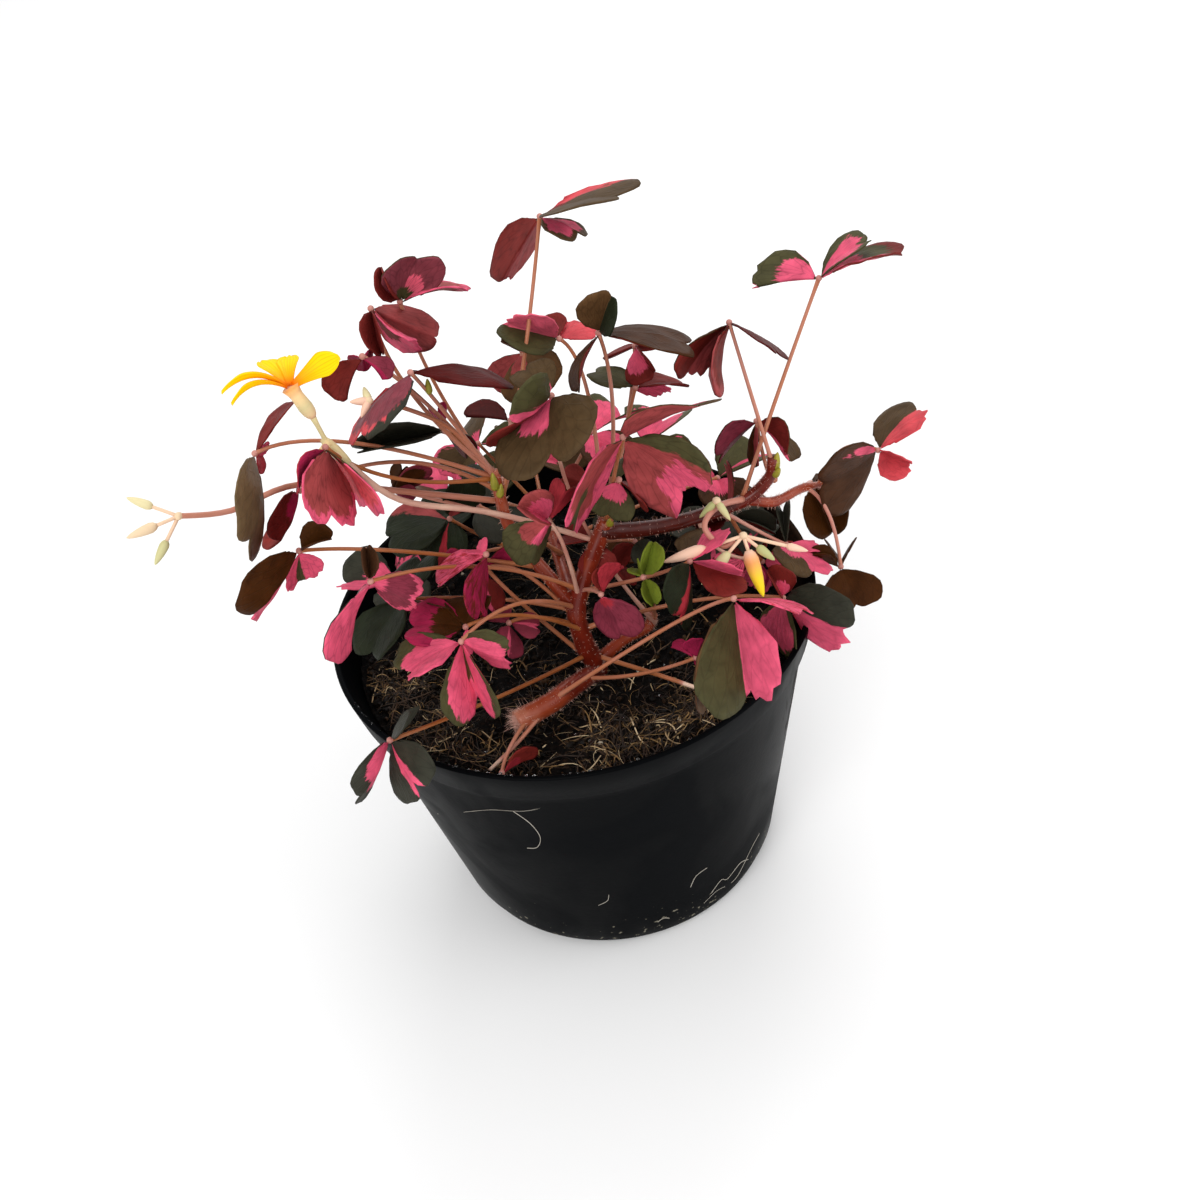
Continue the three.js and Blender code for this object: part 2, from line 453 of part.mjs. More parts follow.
function petiole(leaf, grow, gap) {
  const hub = vector(leaf.hub);
  const bend = vector(leaf.bend);
  const root = vector(leaf.root);
  const towardHub = hub.clone().sub(bend).normalize();
  const top = hub.addScaledVector(towardHub, -gap);
  const pull = bend.multiplyScalar(2).addScaledVector(top, -0.5).addScaledVector(root, -0.5);
  const curve = new THREE.QuadraticBezierCurve3(root, pull, top);
  const steps = Math.min(4, Math.max(2, Math.round(curve.getLength() / PETIOLE_STEP)));
  return taper(curve, PETIOLE_RADIUS * PETIOLE_FOOT + grow, PETIOLE_RADIUS + grow, 4, steps);
}

function stems(grow) {
  const limbs = LIMBS.map(({ path, base, tip }) => {
    return taper(smoothPath(path), base + grow, tip + grow, 7, path.length + 2);
  });
  const stalks = STALKS.map(({ path, radius }) => {
    return taper(smoothPath(path), radius + grow, radius + grow, 4, path.length + 1);
  });
  const petioles = LEAVES.map((leaf) => petiole(leaf, grow, HUB_RADIUS + CLEARANCE));
  const hidden = INNER_LEAVES.flatMap((leaf) => [petiole(leaf, grow, 0), leafBody(leaf, grow)]);
  return fuse([...limbs, ...stalks, ...petioles, ...hidden]);
}

// ---------------------------------------------------------------- leaves, flower and buds

function leafBody(leaf, grow) {
  const blades = leaf.blades.map((spec) => {
    const shape = spec[2] > SMALL_LEAFLET ? HEART : SMALL_HEART;
    return blade(leaf.hub, spec, shape, grow);
  });
  return fuse([bead(leaf.hub, HUB_RADIUS + grow), ...blades]);
}

function petals(grow) {
  const blades = FLOWER.petals.map((spec) => {
    const widen = spec[7] / SPOON.halfWidth;
    const rim = SPOON.rim.map(([along, across]) => [along, across * widen]);
    return blade(FLOWER.throat, spec, { rim, tip: SPOON.tip }, grow);
  });
  return fuse([bead(FLOWER.throat, THROAT_RADIUS + grow), ...blades]);
}

function calyx(grow) {
  const top = vector(FLOWER.throat).lerp(vector(FLOWER.foot), CUP_LIP);
  const foot = vector(FLOWER.foot);
  const stalkTop = foot.clone().lerp(top, STALK_IN_CUP);
  const cup = taper(new THREE.LineCurve3(foot, top), CUP_RADII[0] + grow, CUP_RADII[1] + grow, 8, 2);
  const pedicel = new THREE.LineCurve3(vector(FLOWER.pedicelFoot), stalkTop);
  const stalk = taper(pedicel, PEDICEL_RADII[0] + grow, PEDICEL_RADII[1] + grow, 4, 1);
  return fuse([cup, stalk]);
}

function budSpray(spray, grow) {
  const head = vector(spray.head);
  const pieces = spray.buds.flatMap(([bearing, pitch, stalkLength, budLength, radius]) => {
    const { along } = bladeAxes(bearing, pitch, 0);
    const neck = head.clone().addScaledVector(along, stalkLength);
    const middle = neck.clone().addScaledVector(along, budLength * STALK_IN_BUD);
    const tip = neck.clone().addScaledVector(along, budLength);
    const swell = BUD_SWELL.map((share) => share * radius + grow);
    const bud = tube(new THREE.LineCurve3(neck, tip), swell, 6);
    if (stalkLength < BUD_HEAD_RADIUS) {
      return [bud];
    }
    return [bud, taper(new THREE.LineCurve3(head, middle), BUD_STALK_RADIUS + grow, BUD_STALK_RADIUS + grow, 4, 1)];
  });
  return fuse([bead(spray.head, BUD_HEAD_RADIUS + grow), ...pieces]);
}

// ---------------------------------------------------------------- assembly

const shamrock = new THREE.Group();

function addNode(name, solid, colour, roughness) {
  const material = new THREE.MeshStandardMaterial({ color: colour, roughness, metalness: 0 });
  const mesh = new THREE.Mesh(toGeometry(solid), material);
  mesh.name = name;
  shamrock.add(mesh);
}

const stemRoom = stems(CLEARANCE);
const placed = [stemRoom, lathe(potProfile(CLEARANCE), POT_SIDES)];

addNode('pot', pot(), COLOUR.plastic, 0.45);
addNode('potting_mix', pottingMix(stemRoom), COLOUR.peat, 1);
addNode('stems', stems(0), COLOUR.stem, 0.6);

function addYielding(name, body, colour) {
  addNode(name, giveWay(body(0), placed), colour, 0.6);
  placed.push(body(CLEARANCE));
}

addYielding('flower_calyx', calyx, COLOUR.calyx);
addYielding('flower_petals', petals, COLOUR.petal);
for (const spray of BUD_SPRAYS) {
  addYielding(spray.name, (grow) => budSpray(spray, grow), COLOUR.bud);
}
LEAVES.forEach((leaf, index) => {
  const name = `leaf_${String(index + 1).padStart(2, '0')}`;
  addYielding(name, (grow) => leafBody(leaf, grow), COLOUR[leaf.tint]);
});

export default shamrock;
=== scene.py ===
import math
import random

import bpy
import numpy as np
from mathutils import Matrix, Vector, noise


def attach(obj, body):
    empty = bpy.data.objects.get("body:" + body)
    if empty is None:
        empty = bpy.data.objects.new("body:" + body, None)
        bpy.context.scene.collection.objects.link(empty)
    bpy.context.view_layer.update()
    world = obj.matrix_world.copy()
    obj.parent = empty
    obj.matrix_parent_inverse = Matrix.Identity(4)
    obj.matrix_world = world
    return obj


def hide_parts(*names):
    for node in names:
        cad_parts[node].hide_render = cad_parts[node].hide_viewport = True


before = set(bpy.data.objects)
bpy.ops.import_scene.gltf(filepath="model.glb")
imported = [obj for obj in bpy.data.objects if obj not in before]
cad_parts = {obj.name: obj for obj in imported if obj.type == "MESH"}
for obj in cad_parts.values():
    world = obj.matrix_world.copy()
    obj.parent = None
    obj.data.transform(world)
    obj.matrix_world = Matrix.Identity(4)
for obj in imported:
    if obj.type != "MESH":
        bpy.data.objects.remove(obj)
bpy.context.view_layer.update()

# ---------------------------------------------------------------- studio
# A floor of white card under three soft lights: the key light at the front left, a weaker one at the right,
# and one behind the plant. The camera looks down at it at 40 degrees and is tilted a little.
MM = 0.001
CAMERA_ELEVATION = math.radians(40)
CAMERA_TILT = math.radians(-12)
CAMERA_DISTANCE = 370 * MM
AIM_POINT = Vector((0, 0, 84 * MM))  # the centre of the pot's rim
FLOOR_LEVEL = -0.2 * MM  # just clear of the pot's underside
WORLD_STRENGTH = 0.82


def linear(hex_code):
    """An sRGB hex colour as linear light, with full alpha."""
    channels = [int(hex_code[i:i + 2], 16) / 255 for i in (1, 3, 5)]
    return [*(c / 12.92 if c <= 0.04045 else ((c + 0.055) / 1.055) ** 2.4 for c in channels), 1.0]


def connect(material, node, inputs):
    """Fills a node's inputs: with a value, a hex colour, an output, or another node's first output in use."""
    for name, value in inputs.items():
        if isinstance(value, bpy.types.Node):
            value = next(output for output in value.outputs if output.enabled)
        if isinstance(value, bpy.types.NodeSocket):
            material.node_tree.links.new(value, node.inputs[name])
        else:
            node.inputs[name].default_value = linear(value) if isinstance(value, str) else value


def add_node(material, kind, inputs=None, stops=(), **settings):
    """Adds a shader node with its settings and inputs. Stops are a colour ramp's places and hex colours."""
    node = material.node_tree.nodes.new("ShaderNode" + kind)
    for setting, value in settings.items():
        setattr(node, setting, value)
    connect(material, node, inputs or {})
    for position, _ in stops[1:-1]:
        node.color_ramp.elements.new(position)
    for number, (position, colour) in enumerate(stops):
        node.color_ramp.elements[number].position = position
        node.color_ramp.elements[number].color = linear(colour)
    return node


def new_material(name, surface):
    """A material and its shader, with plain values on the shader's own sockets."""
    material = bpy.data.materials.new(name)
    material.use_nodes = True
    shader = material.node_tree.nodes["Principled BSDF"]
    connect(material, shader, surface)
    return material, shader


def select_only(*pieces):
    """Selects these pieces and no others. The first one becomes the active one."""
    bpy.ops.object.select_all(action="DESELECT")
    for piece in pieces:
        piece.select_set(True)
    if pieces:
        bpy.context.view_layer.objects.active = pieces[0]


select_only()
bpy.ops.mesh.primitive_plane_add(size=6, location=(0, 0, FLOOR_LEVEL))
floor = bpy.context.object
floor.name = "studio_floor"
# Matt white card: an even, shineless white that takes a soft shadow.
card, _ = new_material("matt white card", {"Base Color": "#f1f1f1", "Roughness": 0.9})
floor.data.materials.append(card)

world = bpy.data.worlds.new("studio")
world.use_nodes = True
world.node_tree.nodes["Background"].inputs["Color"].default_value = linear("#ffffff")
world.node_tree.nodes["Background"].inputs["Strength"].default_value = WORLD_STRENGTH
bpy.context.scene.world = world
bpy.context.scene.view_settings.view_transform = "Standard"


def soft_light(name, place, size, power):
    """A square area light that faces the plant: place and size in metres, power in watts."""
    lamp = bpy.data.lights.new(name, "AREA")
    lamp.size = size
    lamp.energy = power
    holder = bpy.data.objects.new(name, lamp)
    holder.location = place
    holder.rotation_euler = (AIM_POINT - Vector(place)).to_track_quat("-Z", "Y").to_euler()
    bpy.context.scene.collection.objects.link(holder)


soft_light("key softbox", (-0.4, -0.85, 0.85), 0.6, 6)
soft_light("side softbox", (0.9, -0.3, 0.7), 0.7, 3)
soft_light("back softbox", (0.25, 0.8, 1.0), 0.7, 5)

look = Vector((0, math.cos(CAMERA_ELEVATION), -math.sin(CAMERA_ELEVATION)))
level = look.cross(Vector((0, 0, 1))).normalized()
upright = level.cross(look)
right = level * math.cos(CAMERA_TILT) + upright * math.sin(CAMERA_TILT)
up = upright * math.cos(CAMERA_TILT) - level * math.sin(CAMERA_TILT)
lens = bpy.data.cameras.new("camera")
lens.lens = 45
lens.sensor_width = 36
lens.shift_x = 0.025
lens.shift_y = -0.0025
camera = bpy.data.objects.new("camera", lens)
camera.matrix_world = Matrix.LocRotScale(
    AIM_POINT - look * CAMERA_DISTANCE,
    Matrix((right, up, -look)).transposed(),
    None,
)
bpy.context.scene.collection.objects.link(camera)
bpy.context.scene.camera = camera

# ---------------------------------------------------------------- pot
# A thin nursery pot of black polypropylene, injection moulded: a tapered wall, a collar that stands
# proud below the rim, a rounded foot and six drain holes. Turned up ring by ring from its underside.
POT_HEIGHT = 84 * MM
RIM_RADIUS = 60 * MM
BASE_RADIUS = 43 * MM
COLLAR_HEIGHT = 9 * MM
COLLAR_STEP = 1.2 * MM
WALL = 1.6 * MM
POT_FLOOR = 2.5 * MM
FOOT_ROUND = 4 * MM
POT_SIDES = 144
HOLE_COUNT = 6
HOLE_RADIUS = 3 * MM
HOLE_CIRCLE = 30 * MM


def wall_radius(height):
    """The outer radius of the tapered wall at a height."""
    return BASE_RADIUS + (RIM_RADIUS - COLLAR_STEP - BASE_RADIUS) * height / POT_HEIGHT


def arc(centre, radius, start, end, count):
    """Points (radius, height) round part of a circle, with angles in degrees from the outward side."""
    turns = [math.radians(start + (end - start) * i / count) for i in range(count + 1)]
    return [(centre[0] + radius * math.cos(t), centre[1] + radius * math.sin(t)) for t in turns]


def turn_rings(profile, sides):
    """Extrudes a disc through the rings of a profile, so that the result is one closed shell."""
    select_only()
    (radius, height), *rings = profile
    bpy.ops.mesh.primitive_circle_add(
        vertices=sides, radius=radius, fill_type="NGON", location=(0, 0, height))
    turned = bpy.context.object
    bpy.ops.object.transform_apply(location=True)
    bpy.ops.object.mode_set(mode="EDIT")
    bpy.ops.mesh.select_all(action="SELECT")
    for next_radius, next_height in rings:
        rise = (0, 0, next_height - height)
        bpy.ops.mesh.extrude_region_move(TRANSFORM_OT_translate={"value": rise})
        grow = next_radius / radius
        bpy.ops.transform.resize(value=(grow, grow, 1), center_override=(0, 0, next_height))
        radius, height = next_radius, next_height
    bpy.ops.mesh.select_all(action="SELECT")
    bpy.ops.mesh.normals_make_consistent(inside=False)
    bpy.ops.object.mode_set(mode="OBJECT")
    return turned


collar_foot = POT_HEIGHT - COLLAR_HEIGHT
collar_radius = wall_radius(collar_foot) + COLLAR_STEP
pot_profile = [
    (BASE_RADIUS - FOOT_ROUND - 3 * MM, 0.0),
    (BASE_RADIUS - FOOT_ROUND, 0.0),
    *arc((BASE_RADIUS - FOOT_ROUND, FOOT_ROUND), FOOT_ROUND, -75, -15, 5),
    *((wall_radius(h * MM), h * MM) for h in range(6, 74, 6)),
    (wall_radius(collar_foot), collar_foot - 0.6 * MM),
    (wall_radius(collar_foot) + 0.2 * MM, collar_foot - 0.2 * MM),
    (collar_radius - 0.3 * MM, collar_foot),
    (collar_radius, collar_foot + 0.3 * MM),
    (RIM_RADIUS - 0.1 * MM, POT_HEIGHT - 0.8 * MM),
    *arc((RIM_RADIUS - WALL / 2, POT_HEIGHT - WALL / 2), WALL / 2, 20, 160, 7),
    (wall_radius(collar_foot) - WALL, collar_foot),
    (wall_radius(40 * MM) - WALL, 40 * MM),
    (wall_radius(POT_FLOOR) - WALL, POT_FLOOR),
    (20 * MM, POT_FLOOR),
]
pot = turn_rings(pot_profile, POT_SIDES)
pot.name = "nursery_pot"
for hole in range(HOLE_COUNT):
    turn = math.tau * hole / HOLE_COUNT
    bpy.ops.mesh.primitive_cylinder_add(
        vertices=24, radius=HOLE_RADIUS, depth=8 * MM,
        location=(HOLE_CIRCLE * math.cos(turn), HOLE_CIRCLE * math.sin(turn), 1 * MM))
    punch = bpy.context.object
    drill = pot.modifiers.new("drain", "BOOLEAN")
    drill.operation = "DIFFERENCE"
    drill.object = punch
    bpy.context.view_layer.objects.active = pot
    bpy.ops.object.modifier_apply(modifier=drill.name)
    bpy.data.objects.remove(punch)
select_only(pot)
bpy.ops.object.shade_smooth_by_angle(angle=math.radians(35))

# Moulded polypropylene looks nearly black, with a dull sheen that changes in clouds about 35 mm wide. Dust
# has dried pale near the foot, and peat water has left brown smears down the right-hand wall. Real dust and
# mould grain are too fine to show: specks about 1.6 mm apart and grain of about 1.1 mm stand for them.
plastic, plastic_shader = new_material(
    "black polypropylene, moulded", {"IOR": 1.49, "Specular IOR Level": 0.018})
on_pot = add_node(plastic, "TexCoord").outputs["Object"]
pot_axes = add_node(plastic, "SeparateXYZ", {"Vector": on_pot})
cloud = add_node(plastic, "TexNoise", {"Vector": on_pot, "Scale": 28, "Detail": 5, "Distortion": 0.8})
speck = add_node(plastic, "TexNoise", {"Vector": on_pot, "Scale": 620, "Detail": 2})
speck_spread = add_node(plastic, "TexNoise", {"Vector": on_pot, "Scale": 60, "Detail": 3})
near_foot = add_node(plastic, "MapRange", {
    "Value": pot_axes.outputs["Z"], "From Min": 26 * MM, "From Max": 2 * MM, "To Max": 0.2})
drifts = add_node(plastic, "Math", {0: speck_spread, 1: 0.22}, operation="MULTIPLY")
low_specks = add_node(plastic, "Math", {0: speck, 1: near_foot}, operation="ADD")
all_specks = add_node(plastic, "Math", {0: low_specks, 1: drifts}, operation="ADD")
dust = add_node(plastic, "MapRange", {
    "Value": all_specks, "From Min": 0.93, "From Max": 0.99, "To Max": 0.55})
run_down = add_node(plastic, "Mapping", {"Vector": on_pot, "Scale": (40, 40, 9)})
runs = add_node(plastic, "TexNoise", {"Vector": run_down, "Scale": 1.6, "Detail": 7, "Roughness": 0.7})
right_side = add_node(plastic, "MapRange", {
    "Value": pot_axes.outputs["X"], "From Min": 38 * MM, "From Max": 56 * MM, "To Max": 0.36})
right_runs = add_node(plastic, "Math", {0: runs, 1: right_side}, operation="ADD")
smear = add_node(plastic, "MapRange", {
    "Value": right_runs, "From Min": 0.74, "From Max": 0.95, "To Max": 0.75})
body = add_node(plastic, "Mix", {"Factor": cloud, "A": "#030303", "B": "#080a0d"}, data_type="RGBA")
dusty = add_node(plastic, "Mix", {"Factor": dust, "A": body, "B": "#a09a88"}, data_type="RGBA")
muddy = add_node(plastic, "Mix", {"Factor": smear, "A": dusty, "B": "#33241a"}, data_type="RGBA")
sheen_patch = add_node(plastic, "MapRange", {
    "Value": cloud, "From Min": 0.42, "From Max": 0.58, "To Min": 0.36, "To Max": 0.52})
dullness = add_node(plastic, "Math", {0: sheen_patch, 1: smear}, operation="ADD")
grain = add_node(plastic, "TexNoise", {"Vector": on_pot, "Scale": 900, "Detail": 2})
relief = add_node(plastic, "Bump", {"Height": grain, "Strength": 0.12, "Distance": 0.2 * MM})
connect(plastic, plastic_shader, {"Base Color": muddy, "Roughness": dullness, "Normal": relief})
pot.data.materials.append(plastic)
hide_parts("pot")
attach(pot, "root")

# ---------------------------------------------------------------- peat
# A plug of damp black peat, filled to 10 mm below the rim. Its crust is lumpy, and it reaches down to the
# pot's floor, a fraction of a millimetre inside the wall.
SOIL_LEVEL = 74 * MM
SOIL_EDGE = wall_radius(SOIL_LEVEL) - WALL - 0.3 * MM
SOIL_CELLS = 170
CRUMBLE_HEIGHT = 1.3 * MM
CLOD_HEIGHT = 0.9 * MM
PLUG_RINGS = [(34 * MM, 40 * MM, 0.3 * MM), (37 * MM, POT_FLOOR, 0.4 * MM)]  # drop, level, gap to the wall


def soil_height(x, y):
    """The height of the crust's broad lumps, with all lengths in metres."""
    x, y = x / MM, y / MM
    broad = 1.1 * (0.6 * math.sin(0.21 * x + 1) * math.cos(0.19 * y) + 0.4 * math.sin(0.43 * y - 0.31 * x))
    return SOIL_LEVEL + broad * MM


select_only()
bpy.ops.mesh.primitive_grid_add(x_subdivisions=SOIL_CELLS, y_subdivisions=SOIL_CELLS, size=2)
peat = bpy.context.object
peat.name = "peat_plug"
for corner in peat.data.vertices:
    x, y, _ = corner.co
    x, y = x * math.sqrt(1 - y * y / 2) * SOIL_EDGE, y * math.sqrt(1 - x * x / 2) * SOIL_EDGE
    crumble = noise.fractal(Vector((x, y, 0)) * 170, 1.0, 2.0, 4) * CRUMBLE_HEIGHT
    clod = noise.noise(Vector((x, y, 3)) * 420) * CLOD_HEIGHT
    corner.co = (x, y, soil_height(x, y) + crumble + clod)
bpy.ops.object.mode_set(mode="EDIT")
bpy.ops.mesh.select_all(action="SELECT")
bpy.ops.mesh.region_to_loop()
ring_radius = SOIL_EDGE
for drop, ring_level, gap in PLUG_RINGS:
    next_radius = wall_radius(ring_level) - WALL - gap
    shrink = next_radius / ring_radius
    bpy.ops.mesh.extrude_edges_move(TRANSFORM_OT_translate={"value": (0, 0, -drop)})
    bpy.ops.transform.resize(value=(shrink, shrink, 1), center_override=(0, 0, 0))
    ring_radius = next_radius
bpy.ops.mesh.edge_face_add()
bpy.ops.mesh.select_all(action="SELECT")
bpy.ops.mesh.normals_make_consistent(inside=False)
bpy.ops.object.mode_set(mode="OBJECT")
bpy.ops.object.shade_smooth()

# Damp peat is nearly black with brown crumbs of 2 mm. It is dull, but wet flecks of 1 mm glint on it.
wet_peat, peat_shader = new_material("damp black peat", {"Specular IOR Level": 0.1})
in_peat = add_node(wet_peat, "TexCoord").outputs["Object"]
crumbs = add_node(wet_peat, "TexNoise", {"Vector": in_peat, "Scale": 520, "Detail": 6, "Roughness": 0.75})
flecks = add_node(wet_peat, "TexVoronoi", {"Vector": in_peat, "Scale": 950})
peat_tone = add_node(wet_peat, "ValToRGB", {"Fac": crumbs}, stops=[
    (0.42, "#020202"), (0.57, "#100a07"), (0.7, "#2c1c10"), (1, "#5b4128")])
peat_relief = add_node(wet_peat, "Bump", {"Height": crumbs, "Strength": 0.9, "Distance": 0.8 * MM})
peat_wet = add_node(wet_peat, "MapRange", {
    "Value": flecks, "From Min": 0.15, "From Max": 0.4, "To Min": 0.22, "To Max": 0.85})
connect(wet_peat, peat_shader, {"Base Color": peat_tone, "Roughness": peat_wet, "Normal": peat_relief})
peat.data.materials.append(wet_peat)
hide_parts("potting_mix")
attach(peat, "root")

# ---------------------------------------------------------------- loose peat
# What lies on the plug: short straw-coloured sedge fibres across one another, dark crumbs of bark, and a few
# white grains of perlite. They are dropped on the crust, the fibres in heaps, most of them at the front.
FIBRE_HEAPS = [  # x, y, spread (mm) and count
    (-46, -10, 9, 290), (-36, -28, 9, 260), (-23, -43, 8, 170), (5, -43, 11, 430),
    (24, -37, 9, 300), (-7, -24, 9, 100), (0, 0, 46, 650),
]
FIBRE_KNOTS = 8
FIBRE_STEPS = (0.25, 0.35, 0.5, 0.7, 1.1, 1.6)  # mm between two knots
FIBRE_RADII = (0.04, 0.06, 0.08, 0.11, 0.15, 0.22)
CRUMB_COUNT = 1700
PERLITE_COUNT = 8
chance = random.Random(7)


def scatter(heap):
    """A random place in a heap, kept 2.5 mm inside the peat's edge."""
    for _ in range(20):
        x, y = chance.gauss(heap[0], heap[2] * 0.6), chance.gauss(heap[1], heap[2] * 0.6)
        if math.hypot(x, y) < SOIL_EDGE / MM - 2.5:
            return x, y
    return heap[0], heap[1]


def draw_tubes(name, paths, roundness):
    """Draws every path, a list of (point, radius) in millimetres, as a tube with closed ends, in one mesh."""
    curve = bpy.data.curves.new(name, "CURVE")
    curve.dimensions = "3D"
    curve.bevel_depth = MM
    curve.bevel_resolution = roundness
    for path in paths:
        spline = curve.splines.new("POLY")
        spline.points.add(len(path) - 1)
        for knot, (point, radius) in zip(spline.points, path):
            knot.co = (*(Vector(point) * MM), 1)
            knot.radius = radius
    tubes = bpy.data.objects.new(name, curve)
    bpy.context.scene.collection.objects.link(tubes)
    select_only(tubes)
    bpy.ops.object.convert(target="MESH")
    bpy.ops.object.mode_set(mode="EDIT")
    bpy.ops.mesh.select_all(action="SELECT")
    bpy.ops.mesh.fill_holes(sides=0)
    bpy.ops.mesh.select_all(action="SELECT")
    bpy.ops.mesh.normals_make_consistent(inside=False)
    bpy.ops.object.mode_set(mode="OBJECT")
    bpy.ops.object.shade_smooth()
    return bpy.context.object


def mark(piece, name, kind, values):
    """Gives every point of a mesh its own value: kind is FLOAT, FLOAT_VECTOR or FLOAT_COLOR."""
    layer = piece.data.attributes.new(name, kind, "POINT")
    layer.data.foreach_set({"FLOAT": "value", "FLOAT_VECTOR": "vector", "FLOAT_COLOR": "color"}[kind],
                           np.asarray(values, dtype=np.float32).ravel())


def mark_rings(tubes, values, name="tone"):
    """Gives each ring of the tubes, in the order of their paths' points, its own value."""
    sides = len(tubes.data.vertices) // len(values)
    mark(tubes, name, "FLOAT", np.repeat(values, sides))


def tone_ramp(name, surface, stops):
    """A skin coloured along a ramp by the tone that each ring of its tubes carries."""
    skin, shader = new_material(name, surface)
    tone = add_node(skin, "Attribute", attribute_name="tone")
    colour = add_node(skin, "ValToRGB", {"Fac": tone.outputs["Fac"]}, stops=stops)
    connect(skin, shader, {"Base Color": colour})
    return skin


fibres = []
for heap in FIBRE_HEAPS:
    for _ in range(heap[3]):
        x, y = scatter(heap)
        heading = chance.uniform(0, math.tau)
        bend = chance.gauss(0, 0.08)
        step = chance.choice(FIBRE_STEPS)
        thickness = chance.choice(FIBRE_RADII)
        lift = chance.uniform(0.2, 1.5)
        fibre = []
        for knot in range(FIBRE_KNOTS):
            rise = lift * math.sin(math.pi * knot / (FIBRE_KNOTS - 1)) + 0.1
            if math.hypot(x, y) > SOIL_EDGE / MM - 0.6:
                break
            point = (x, y, soil_height(x * MM, y * MM) / MM + rise)
            fibre.append((point, thickness * (1 - 0.07 * knot)))
            heading += bend
            bend += chance.gauss(0, 0.1)
            x += step * math.cos(heading)
            y += step * math.sin(heading)
        if len(fibre) > 3:
            fibres.append(fibre)
straw = draw_tubes("peat_fibres", fibres, 0)
tones = []
for fibre in fibres:
    tones += [chance.random() ** 2] * len(fibre)
mark_rings(straw, tones)
# Dry sedge is papery: each fibre has a tone of its own, most of them brown and a few pale as straw.
straw.data.materials.append(tone_ramp("dry sedge fibre", {"Roughness": 0.6}, [
    (0, "#1c120a"), (0.45, "#4c341e"), (0.8, "#9c7a4a"), (1, "#e6cfa6")]))
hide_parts("potting_mix")
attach(straw, "root")


def sow(name, places):
    """Copies the active blank to every (place, size, turn), in millimetres, all in one mesh."""
    blank = bpy.context.object
    corners = np.array([corner.co for corner in blank.data.vertices])
    faces = [list(face.vertices) for face in blank.data.polygons]
    points, sides = [], []
    for number, (place, size, turn) in enumerate(places):
        spin = np.array(turn.to_matrix())
        points.append((corners * np.array(size)) @ spin.T + np.array(place))
        sides += [[index + number * len(corners) for index in face] for face in faces]
    mesh = bpy.data.meshes.new(name)
    mesh.from_pydata(np.concatenate(points) * MM, [], sides)
    sown = bpy.data.objects.new(name, mesh)
    bpy.context.scene.collection.objects.link(sown)
    bpy.data.objects.remove(blank)
    select_only(sown)
    return sown


def any_turn():
    """A random turn: about the upright axis and then about a level one."""
    tilt, spin = (Matrix.Rotation(chance.uniform(0, math.tau), 3, axis) for axis in "XZ")
    return tilt.to_quaternion() @ spin.to_quaternion()


def grain_places(count, smallest, largest):
    """Random places, sizes and turns of grains that lie all over the crust, for sow."""
    places = []
    for _ in range(count):
        angle, reach = chance.uniform(0, math.tau), math.sqrt(chance.random()) * (SOIL_EDGE / MM - 1.6)
        x, y = reach * math.cos(angle), reach * math.sin(angle)
        size = chance.uniform(smallest, largest)
        place = (x, y, soil_height(x * MM, y * MM) / MM + 0.5)
        measures = (size, size * chance.uniform(0.5, 0.9), size * chance.uniform(0.4, 0.8))
        places.append((place, measures, any_turn()))
    return places


select_only()
bpy.ops.mesh.primitive_ico_sphere_add(subdivisions=1, radius=1)
for corner in bpy.context.object.data.vertices:
    corner.co *= chance.uniform(0.75, 1.2)
crumb = sow("bark_crumbs", grain_places(CRUMB_COUNT, 0.35, 1.25))
# Damp bark is near black with brown patches of about 3 mm, and a little glossier than the peat.
bark, bark_shader = new_material("bark crumb, damp", {"Roughness": 0.5, "Specular IOR Level": 0.12})
bark_grain = add_node(bark, "TexNoise", {
    "Vector": add_node(bark, "TexCoord").outputs["Object"],
    "Scale": 330, "Detail": 5, "Roughness": 0.7})
bark_colour = add_node(bark, "ValToRGB", {"Fac": bark_grain}, stops=[
    (0.4, "#050302"), (0.55, "#160e06"), (0.72, "#553c25")])
connect(bark, bark_shader, {"Base Color": bark_colour})
crumb.data.materials.append(bark)

select_only()
bpy.ops.mesh.primitive_ico_sphere_add(subdivisions=2, radius=1)
perlite = sow("perlite_grains", grain_places(PERLITE_COUNT, 0.5, 1.0))
bpy.ops.object.shade_smooth()
# Perlite is chalky off-white. Its pores are too fine to show: cells of about 0.4 mm stand for them.
white_grain, grain_shader = new_material("perlite, expanded rock", {"Roughness": 0.8})
grain_pores = add_node(white_grain, "TexVoronoi", {
    "Vector": add_node(white_grain, "TexCoord").outputs["Object"], "Scale": 2600})
grain_colour = add_node(white_grain, "Mix", {
    "Factor": grain_pores, "A": "#8d8069", "B": "#d8d0bd"}, data_type="RGBA")
connect(white_grain, grain_shader, {"Base Color": grain_colour})
perlite.data.materials.append(white_grain)
for piece in (crumb, perlite):
    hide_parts("potting_mix")
    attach(piece, "root")

